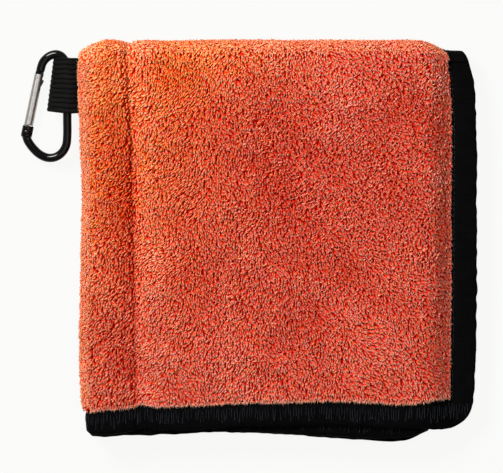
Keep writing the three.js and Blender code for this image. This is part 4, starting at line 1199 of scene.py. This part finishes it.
def loop_end_binding(half, name, body, phase):
    """The binding of the towel's inner edge, on panel A, with its row of stitches."""
    y0 = float(low_a(-50)) + (0 if half.front else BACK_RAISE)
    y = np.arange(y0 + 1.0, HINGE_Y + 0.01, 0.8)
    m = len(OUTLINE)
    b, side, nose = OUTLINE.T
    xb, xo = np.full(y.shape, -42.4), -53.9 + 0.15 * EDGE(y + phase)
    x = xb[:, None] + (xo - xb)[:, None] * b[None, :]
    zc = A_FRONT if half.front else A_BACK
    h = tape_half(b[None, :], y[:, None], phase + 40 * (side[None, :] < 0), gathers=0.5)
    co = np.stack([x, np.repeat(y[:, None], m, 1), zc + h * side[None, :] * 0.92], -1)
    o = mesh_of(name, co.reshape(-1, 3), capped(len(y), m, co), TAPE)
    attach(o, body)
    k = np.arange(y0 + 4, (HINGE_Y - 2) if half.front else 62.0, 2.9)
    t = np.linspace(-0.5, 0.5, 7)
    pieces, ups = [], []
    for sd in (1, -1):
        yy = k[:, None] + t[None, :] * 2.5
        hh = tape_half(np.full(yy.shape, 0.13), yy, phase + 40 * (sd < 0), gathers=0.5) * 0.92
        lift = 0.13 - 0.42 * (2 * t[None, :]) ** 4
        pieces.append(np.stack([np.full(yy.shape, -43.9), yy, zc + sd * (hh + lift)], -1))
        ups.append(np.tile([0.0, 0.0, float(sd)], (len(k), 1)))
    pts, up = np.concatenate(pieces), np.concatenate(ups)
    tube, faces, _, _ = strands(pts, np.full(pts.shape[:2], 0.19), up, 6, pointed=False)
    th = mesh_of(name + "_stitching", tube, faces, THREAD)
    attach(th, body)
    return o, th


le_back, le_back_thread = loop_end_binding(BACK, "loop_end_tape_back", "towel_back", 800.0)
le_front, le_front_thread = loop_end_binding(FRONT, "loop_end_tape_front", "towel_front", 870.0)
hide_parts("loop_end_binding_back")
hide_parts("loop_end_binding_front")
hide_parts("loop_end_seam_thread_back")
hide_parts("loop_end_seam_thread_front")


# ------------------------------------------------------------------ webbing
WEB_LO, WEB_HI = 64.8, 91.0
RIB = 2.28                    # pitch of the webbing's cross ribs, along its width


def rib_depth(y, seed_x):
    """Height of the woven ribs that run along the strap, and of the picks across them."""
    p = (y - WEB_LO) / RIB
    ribs = np.abs(np.sin(np.pi * p)) ** 0.55
    picks = 0.5 + 0.5 * np.sin(2 * np.pi * seed_x / 0.95 + np.pi * (np.floor(p) % 2))
    return 0.4 * (ribs - 0.8) + 0.08 * (picks - 0.5) * ribs


# 1 on each rib's crest and 0 in the groove between ribs; it darkens the webbing's colour as painted shade in the
# grooves
def painted_rib_shading(y):
    return np.abs(np.sin(np.pi * (y - WEB_LO) / RIB)) ** 0.55


def webbing_loop():
    knots = [(-84.6, 11.1), (-88.4, 11.95), (-92.3, 12.2), (-96.6, 10.9), (-100, 8.3), (-100.95, 6.3), (-99.6, 4.7), (-96.2, 4.07), (-92.3, 4.07), (-90.5, 4.5), (-89.1, 5.7), (-86.8, 8.15), (-84.6, 9.9)]
    line = resample(catmull([(-81.5, 11.0)] + knots + [(-81.5, 10.0)]), 150)
    s = np.concatenate([[0], np.cumsum(np.linalg.norm(np.diff(line, axis=0), axis=1))])
    t = unit(np.gradient(line, axis=0))
    n = np.stack([t[:, 1], -t[:, 0]], 1)
    if n[60] @ (line[60] - np.array([-93.0, 8.0])) < 0:
        n = -n
    ys = np.concatenate([[WEB_LO], np.arange(WEB_LO + 0.16, WEB_HI - 0.1, 0.19), [WEB_HI]])
    Y = np.repeat(ys[None, :], len(line), 0)
    ribs = rib_depth(Y, s[:, None])
    end = np.minimum(Y - WEB_LO, WEB_HI - Y)
    half = 0.5 * np.clip(end / 0.45, 0.0, 1.0) ** 0.5
    layers = []
    for sd in (1, -1):
        off = half * 1.0 + ribs * np.clip(end / 0.5, 0, 1)
        x = line[:, None, 0] + n[:, None, 0] * sd * off
        z = line[:, None, 1] + n[:, None, 1] * sd * off
        layers.append(np.stack([x, Y, z], -1))
    pos = np.stack(layers)
    # the loop narrows towards the top, where it is pulled in, and its lower edge sags
    k = (WEB_HI - Y) / (WEB_HI - WEB_LO)
    scale = 0.872 + (1.075 - 0.872) * k
    for i in range(2):
        far = (pos[i, ..., 0] + 84.6) / -16.0
        pos[i, ..., 0] = -84.6 + (pos[i, ..., 0] + 84.6) * np.where(far > 0, scale, 1)
        edge_shape = np.clip(far, 0, 1.2)
        pos[i, ..., 1] = pos[i, ..., 1] + (1 - k) * (1.1 * edge_shape - 0.6 * edge_shape**2) + k * (0.8 * smooth(0.55, 1.1, edge_shape) - 0.4 * bell(edge_shape, 0.35, 0.3))
        pos[i, ..., 1] += 0.05 * EDGE2(s[:, None] * 1.3 + 40) + (1 - k) * 1.3 + 0.4
    nu, nv = pos.shape[1:3]
    co = pos.reshape(-1, 3)
    rib = np.tile(painted_rib_shading(Y).ravel(), 2)
    cnt = nu * nv
    a = grid_faces(nu, nv)
    mid = (nu // 2) * nv + nv // 2
    p = co[:cnt]
    f = a[(nu // 2 - 1) * (nv - 1) + nv // 2]
    nn = np.cross(p[f[1]] - p[f[0]], p[f[2]] - p[f[0]])
    outward = np.dot(nn[[0, 2]], n[nu // 2]) > 0
    f1 = a if outward else a[:, ::-1]
    f2 = (a[:, ::-1] if outward else a) + cnt
    ring = np.concatenate([np.arange(nu) * nv, (nu - 1) * nv + np.arange(1, nv), np.arange(nu - 2, -1, -1) * nv + nv - 1, np.arange(nv - 2, 0, -1)])
    nxt = np.roll(ring, -1)
    rim = np.stack([ring, ring + cnt, nxt + cnt, nxt], 1)
    if not outward:
        rim = rim[:, ::-1]
    o = mesh_of("webbing_strap_loop", co, [f1, f2, rim], WEBBING, attrs={"rib": rib})
    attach(o, "loop")
    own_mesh(o)
    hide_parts("webbing_loop")
    return o


web_loop = webbing_loop()


def webbing_tail():
    """The strap's two ends, laid together and sewn to the inner edge."""
    xs = np.arange(-83.2, -40.4, 0.42)
    ys = np.concatenate([[WEB_LO], np.arange(WEB_LO + 0.2, WEB_HI - 0.1, 0.24), [WEB_HI]])
    X, Y = np.meshgrid(xs, ys, indexing="ij")
    end = np.minimum(np.minimum(Y - WEB_LO, WEB_HI - Y), np.minimum(X + 83.2, -40.4 - X))
    half = 0.98 * np.clip(end / 0.5, 0, 1) ** 0.5 + rib_depth(Y, X) * np.clip(end / 0.5, 0, 1)
    # the box of stitches pulls the layers together
    frame_in = np.maximum(np.abs(X + 47.4) / 5.4, np.abs(Y - 77.9) / 10.6)
    half = half - 0.16 * bell(frame_in, 1.0, 0.07) * (frame_in < 1.4)
    pos = np.stack([X, Y, np.full(X.shape, 10.52)], -1)
    nrm = np.zeros_like(pos)
    nrm[..., 2] = 1
    co, faces = shell(pos, nrm, half)
    o = mesh_of("webbing_strap_ends", co, faces, WEBBING, attrs={"rib": np.tile(painted_rib_shading(Y).ravel(), 2)})
    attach(o, "towel_back")
    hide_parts("webbing_tail")
    # box with a cross, in separate stitches
    corners = [(-52.6, 67.5), (-52.6, 88.3), (-42.2, 88.3), (-42.2, 67.5)]
    lines = [(corners[i], corners[(i + 1) % 4]) for i in range(4)] + [(corners[0], corners[2]), (corners[1], corners[3])]
    pts = []
    t = np.linspace(-0.5, 0.5, 7)
    for a, b in lines:
        a, b = np.array(a), np.array(b)
        ln = np.linalg.norm(b - a)
        cnt = max(2, round(ln / 2.4))
        for i in range(cnt):
            c = a + (b - a) * ((i + 0.5) / cnt)
            d = (b - a) / ln
            p = c[None, :] + d[None, :] * (t * ln / cnt * 0.88)[:, None]
            z = 11.58 - 0.45 * (2 * t) ** 4
            pts.append(np.column_stack([p, z]))
    pts = np.array(pts)
    up = np.tile([0.0, 0.0, 1.0], (len(pts), 1))
    tube, faces, _, _ = strands(pts, np.full(pts.shape[:2], 0.24), up, 6, pointed=False)
    st = mesh_of("loop_box_stitching", tube, faces, THREAD)
    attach(st, "towel_back")
    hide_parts("loop_box_stitch")
    return o, st


web_tail, box_stitches = webbing_tail()


# ------------------------------------------------------------------ carabiner
SPINE = np.array([-92.3, 0.0, 7.12])
TILT = math.radians(11)
LEAN = math.radians(12)
PIVOT = np.array([-20.95, 55.6])
ALONG = np.array([math.sin(LEAN), math.cos(LEAN)])
ACROSS = np.array([math.cos(LEAN), -math.sin(LEAN)])


def at_gate(s, r):
    return tuple(PIVOT + ALONG * s + ACROSS * r)


def from_carabiner(uvn):
    """The carabiner's own u, v and n turned into the towel's frame."""
    uvn = np.atleast_2d(np.asarray(uvn, float))
    u, v, n = uvn.T
    return np.stack([SPINE[0] + u * math.cos(TILT) - n * math.sin(TILT), v, SPINE[2] + u * math.sin(TILT) + n * math.cos(TILT)], 1)


def sweep(path, radius, sides=36):
    p = np.asarray(path, float)
    t = unit(np.gradient(p, axis=0))
    n = np.tile([0.0, 0.0, 1.0], (len(p), 1))
    q = unit(np.cross(n, t))
    a = np.arange(sides) / sides * 2 * np.pi
    ring = p[:, None, :] + q[:, None, :] * (radius[:, None] * np.cos(a)[None, :])[..., None] + n[:, None, :] * (radius[:, None] * np.sin(a)[None, :])[..., None]
    return ring


def carabiner_rod():
    top = at_gate(31.2, 0.2)
    knots = [top, (-12.55, 91.1), (-9.3, 94.1), (-5.6, 95.0), (-2.9, 93.9), (-0.9, 90.9), (-0.1, 86.9), (0, 81), (0, 72), (0, 62), (0, 53.5), (-0.6, 48.6), (-2.8, 44.9), (-6.2, 42.7), (-10.2, 42.4), (-14.2, 44.0), (-17.9, 47.3), (-20.6, 51.1), at_gate(-2.2, 0)]
    line = resample(catmull([(*k, 0.0) for k in knots], 20), 230)
    s = np.concatenate([[0], np.cumsum(np.linalg.norm(np.diff(line, axis=0), axis=1))])
    rad = np.full(len(line), 2.2)
    # the nose end is rounded over
    near = s < 1.0
    rad[near] = 2.2 - 0.55 * (1 - s[near]) ** 2
    ring = sweep(line, rad)
    co = from_carabiner(ring.reshape(-1, 3)).reshape(ring.shape)
    o = mesh_of("carabiner_rod", co.reshape(-1, 3), capped(len(line), ring.shape[1], co), ANODISED)
    crisp(o, 50)
    return o


def crisp(o, degrees):
    """Smooth shading that keeps edges sharper than this."""
    me = o.data
    bm = bmesh.new()
    bm.from_mesh(me)
    lim = math.radians(degrees)
    for e in bm.edges:
        e.smooth = not (len(e.link_faces) == 2 and e.calc_face_angle(0) > lim)
    for f in bm.faces:
        f.smooth = True
    bm.to_mesh(me)
    bm.free()


def solid_object(name, co, faces, material=None):
    o = mesh_of(name, co, faces, material)
    return o


def cut(o, tool, operation="DIFFERENCE"):
    m = o.modifiers.new("cut", "BOOLEAN")
    m.operation = operation
    m.object = tool
    m.solver = "EXACT"
    dg = bpy.context.evaluated_depsgraph_get()
    me = bpy.data.meshes.new_from_object(o.evaluated_get(dg))
    o.modifiers.clear()
    old = o.data
    o.data = me
    bpy.data.meshes.remove(old)
    bpy.data.objects.remove(tool)


def lathe(profile, sides, place):
    prof = np.array(profile, float)
    a = np.arange(sides) / sides * 2 * np.pi
    r, h = prof[:, 0], prof[:, 1]
    ring = np.stack([r[:, None] * np.cos(a), np.repeat(h[:, None], sides, 1), r[:, None] * np.sin(a)], -1)
    co = place(ring.reshape(-1, 3)).reshape(ring.shape)
    return co


def on_gate(p, s=0.0, r=0.0):
    """Points made along +Y turned to lie along the gate, s up it and r towards the spine."""
    p = np.asarray(p, float)
    x, y, z = p.T
    u = x * math.cos(LEAN) + y * math.sin(LEAN)
    v = -x * math.sin(LEAN) + y * math.cos(LEAN)
    o = at_gate(s, r)
    return from_carabiner(np.stack([u + o[0], v + o[1], z], 1))


def box_points(w, h, d):
    return np.array([(sx * w / 2, sy * h / 2, sz * d / 2) for sx in (-1, 1) for sy in (-1, 1) for sz in (-1, 1)])


BOX_FACES = [np.array([(0, 1, 3, 2), (4, 6, 7, 5), (0, 4, 5, 1), (2, 3, 7, 6), (0, 2, 6, 4), (1, 5, 7, 3)])]


def carabiner_barrel():
    L, R = 6.2, 2.95
    prof = [(0.4, -L / 2), (R - 1.0, -L / 2), (R - 0.5, -L / 2 + 0.25), (R - 0.2, -L / 2 + 0.65), (R - 0.04, -L / 2 + 1.1), (R, -L / 2 + 1.5), (R, L / 2 - 0.42), (R - 0.05, L / 2 - 0.22), (R - 0.16, L / 2 - 0.08), (R - 0.34, L / 2), (0.4, L / 2)]
    co = lathe(prof, 56, lambda p: on_gate(p))
    o = mesh_of("carabiner_barrel", co.reshape(-1, 3), capped(len(prof), 56, co), ANODISED)
    slot = mesh_of("tool", on_gate(box_points(30, 20, 3.0), 10 - 2.3), BOX_FACES)
    cut(o, slot)
    for r, h in ((0.9, 12.0),):
        a = np.arange(32) / 32 * 2 * np.pi
        ring = np.stack([np.stack([r * np.cos(a), r * np.sin(a), np.full(32, z)], -1) for z in (-h / 2, h / 2)])
        p = from_carabiner(ring.reshape(-1, 3) + np.array([*PIVOT, 0])).reshape(ring.shape)
        cut(o, mesh_of("tool", p.reshape(-1, 3), capped(2, 32, p)))
    for n in (1, -1):
        a = np.arange(40) / 40 * 2 * np.pi
        ring = np.stack([np.stack([1.5 * np.cos(a), 1.5 * np.sin(a), np.full(40, z)], -1) for z in (n * 3.3 - 1, n * 3.3 + 1)])
        p = from_carabiner(ring.reshape(-1, 3) + np.array([*PIVOT, 0])).reshape(ring.shape)
        cut(o, mesh_of("tool", p.reshape(-1, 3), capped(2, 40, p)))
    o.data.materials.clear()
    o.data.materials.append(ANODISED)
    crisp(o, 35)
    return o


def carabiner_nose():
    """The flat hooked nose that runs into the gate's slot."""
    pin_s, pin_r, pin_d, clear, L = 28.3, -0.35, 1.1, 0.3, 30
    hook = [(L + 2.6, -1.7), (pin_s - 1.2, -2.05), (pin_s - 3.6, -1.5), (pin_s - 6.2, 0.6), (pin_s - 5.2, 1.9), (pin_s - 2.4, 2.9), (pin_s - 1.0, 3.1),
            (pin_s - pin_d / 2 - clear, 2.7), (pin_s - pin_d / 2 - clear, pin_r - 0.2), (pin_s, pin_r - pin_d / 2 - clear), (pin_s + pin_d / 2 + clear, pin_r - 0.2), (pin_s + pin_d / 2 + clear, 2.4), (L + 2.6, 2.0)]
    bm = bmesh.new()
    flat = [at_gate(a, b) for a, b in hook]
    lo = [bm.verts.new(((from_carabiner([(u, v, -0.8)])[0] + SHIFT) * MM).tolist()) for u, v in flat]
    hi = [bm.verts.new(((from_carabiner([(u, v, 0.8)])[0] + SHIFT) * MM).tolist()) for u, v in flat]
    bm.faces.new(lo[::-1])
    bm.faces.new(hi)
    for i in range(len(lo)):
        j = (i + 1) % len(lo)
        bm.faces.new((lo[i], lo[j], hi[j], hi[i]))
    bmesh.ops.recalc_face_normals(bm, faces=bm.faces)
    edges = [e for e in bm.edges if len(e.link_faces) == 2 and e.calc_face_angle(0) > 0.9]
    bmesh.ops.bevel(bm, geom=edges, offset=0.14 * MM, segments=2, affect="EDGES", profile=0.5)
    me = bpy.data.meshes.new("carabiner_nose")
    bm.to_mesh(me)
    bm.free()
    me.materials.append(ANODISED)
    o = bpy.data.objects.new("carabiner_nose", me)
    bpy.context.scene.collection.objects.link(o)
    crisp(o, 35)
    return o


rod_o, barrel_o, nose_o = carabiner_rod(), carabiner_barrel(), carabiner_nose()
for o in (rod_o, barrel_o, nose_o):
    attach(o, "carabiner")
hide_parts("carabiner_body")


def smooth_copy(node_name, name, body, material, degrees=35):
    """A finely shaded piece on a CAD node's own shape."""
    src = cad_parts[node_name]
    me = src.data.copy()
    bm = bmesh.new()
    bm.from_mesh(me)
    bmesh.ops.remove_doubles(bm, verts=bm.verts, dist=2e-6)
    bmesh.ops.dissolve_limit(bm, angle_limit=0.01, verts=bm.verts, edges=bm.edges)
    bmesh.ops.triangulate(bm, faces=[f for f in bm.faces if len(f.verts) > 4])
    bm.to_mesh(me)
    bm.free()
    me.materials.clear()
    me.materials.append(material)
    o = bpy.data.objects.new(name, me)
    bpy.context.scene.collection.objects.link(o)
    crisp(o, degrees)
    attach(o, body)
    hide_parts(node_name)
    return o


gate_o = smooth_copy("gate_bar", "gate_barrel", "gate", STEEL)
pin_o = smooth_copy("gate_latch_pin", "gate_cross_pin", "gate", PLAIN_STEEL)
spring_o = smooth_copy("gate_spring", "gate_return_spring", "gate", PLAIN_STEEL, 60)
rivet_o = smooth_copy("gate_hinge_rivet", "gate_rivet", "carabiner", DARK_STEEL, 45)
plunger_o = smooth_copy("gate_plunger", "gate_spring_plunger", "plunger", PLAIN_STEEL, 45)


def slot(o, name):
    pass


for o in [cloth_back, cloth_front, *fold_strips.values(), *(p for p, _ in pile)]:
    slot(o, "fleece")
for o in (low_back, low_front, end_back, end_front, end_top, le_back, le_front):
    slot(o, "binding")
for o in (low_back_thread, low_front_thread, end_back_thread, end_front_thread, le_back_thread, le_front_thread, box_stitches):
    slot(o, "thread")
for o in (web_loop, web_tail):
    slot(o, "webbing")
for o in (rod_o, barrel_o, nose_o):
    slot(o, "anodised")
for o in (gate_o, pin_o, spring_o, rivet_o, plunger_o):
    slot(o, "steel")


# ------------------------------------------------------------------ stage, light and camera
def stage():
    me = bpy.data.meshes.new("floor")
    bm = bmesh.new()
    e = 14.0
    bm.faces.new([bm.verts.new(v) for v in ((-e, -e, 0), (e, -e, 0), (e, e, 0), (-e, e, 0))])
    bm.to_mesh(me)
    bm.free()
    o = bpy.data.objects.new("floor", me)
    bpy.context.scene.collection.objects.link(o)
    m, nt, b = new_material("floor_paper")
    b.inputs["Base Color"].default_value = (0.03, 0.03, 0.0297, 1)
    b.inputs["Roughness"].default_value = 0.9
    b.inputs["Specular IOR Level"].default_value = 0.0
    b.inputs["Emission Color"].default_value = (1.0, 1.0, 0.985, 1)
    b.inputs["Emission Strength"].default_value = 0.918
    me.materials.append(m)
    return o


floor_o = stage()
floor_o.location.z = -0.0002


def area(name, place, target, size, power, colour=(1, 1, 1), size_y=None):
    d = bpy.data.lights.new(name, "AREA")
    d.energy = power
    d.color = colour
    d.shape = "RECTANGLE"
    d.size = size
    d.size_y = size_y or size
    o = bpy.data.objects.new(name, d)
    bpy.context.scene.collection.objects.link(o)
    o.location = place
    o.rotation_mode = "QUATERNION"
    o.rotation_quaternion = (Vector(target) - Vector(place)).to_track_quat("-Z", "Y")
    o.visible_camera = False
    return o


area("key_softbox", (-0.95, 0.95, 1.25), (0, 0, 0), 0.55, 50.0, (1.0, 0.985, 0.96))
area("top_fill", (0.25, -0.15, 2.1), (0, 0, 0), 1.9, 14.0, (1.0, 1.0, 1.0))
area("glint", (0.85, 0.7, 1.5), (0, 0, 0), 0.2, 2.2, (1.0, 0.99, 0.97))

world = bpy.data.worlds.new("studio")
bpy.context.scene.world = world
world.use_nodes = True
wn = world.node_tree
wn.nodes.clear()
wout = wn.nodes.new("ShaderNodeOutputWorld")
bg = wn.nodes.new("ShaderNodeBackground")
back = wn.nodes.new("ShaderNodeBackground")
sel = wn.nodes.new("ShaderNodeMixShader")
path_node = wn.nodes.new("ShaderNodeLightPath")
wtc = wn.nodes.new("ShaderNodeTexCoord")
wdot = wn.nodes.new("ShaderNodeVectorMath")
wdot.operation = "DOT_PRODUCT"
wdot.inputs[1].default_value = (-0.62, 0.45, 0.45)
wn.links.new(wtc.outputs["Generated"], wdot.inputs[0])
wr = wn.nodes.new("ShaderNodeMapRange")
wr.inputs["From Min"].default_value = -0.7
wr.inputs["From Max"].default_value = 0.9
wr.inputs["To Min"].default_value = 0.03
wr.inputs["To Max"].default_value = 0.34
wn.links.new(wdot.outputs["Value"], wr.inputs["Value"])
wn.links.new(wr.outputs[0], bg.inputs["Strength"])
bg.inputs["Color"].default_value = (1, 1, 1, 1)
back.inputs["Color"].default_value = (0.925, 0.925, 0.911, 1)
back.inputs["Strength"].default_value = 1.0
wn.links.new(path_node.outputs["Is Camera Ray"], sel.inputs[0])
wn.links.new(bg.outputs[0], sel.inputs[1])
wn.links.new(back.outputs[0], sel.inputs[2])
wn.links.new(sel.outputs[0], wout.inputs[0])

PX = 0.508                    # millimetres across one pixel of the 503 by 473 frame
cam_d = bpy.data.cameras.new("camera")
cam = bpy.data.objects.new("camera", cam_d)
bpy.context.scene.collection.objects.link(cam)
cam_d.sensor_width = 36.0
DIST = 2.6
cam_d.lens = 36.0 * DIST / (503 * PX * MM)
cam_d.clip_start, cam_d.clip_end = 0.05, 60
cam.location = (((251.5 - 248.7) * PX + SHIFT[0]) * MM, ((241 - 236.5) * PX + SHIFT[1]) * MM, DIST + 0.0105)
cam.rotation_euler = (0, 0, 0)
bpy.context.scene.camera = cam

bpy.context.scene.view_settings.view_transform = "Standard"
bpy.context.scene.view_settings.look = "None"
bpy.context.scene.view_settings.exposure = 0.0
bpy.context.scene.view_settings.gamma = 1.0
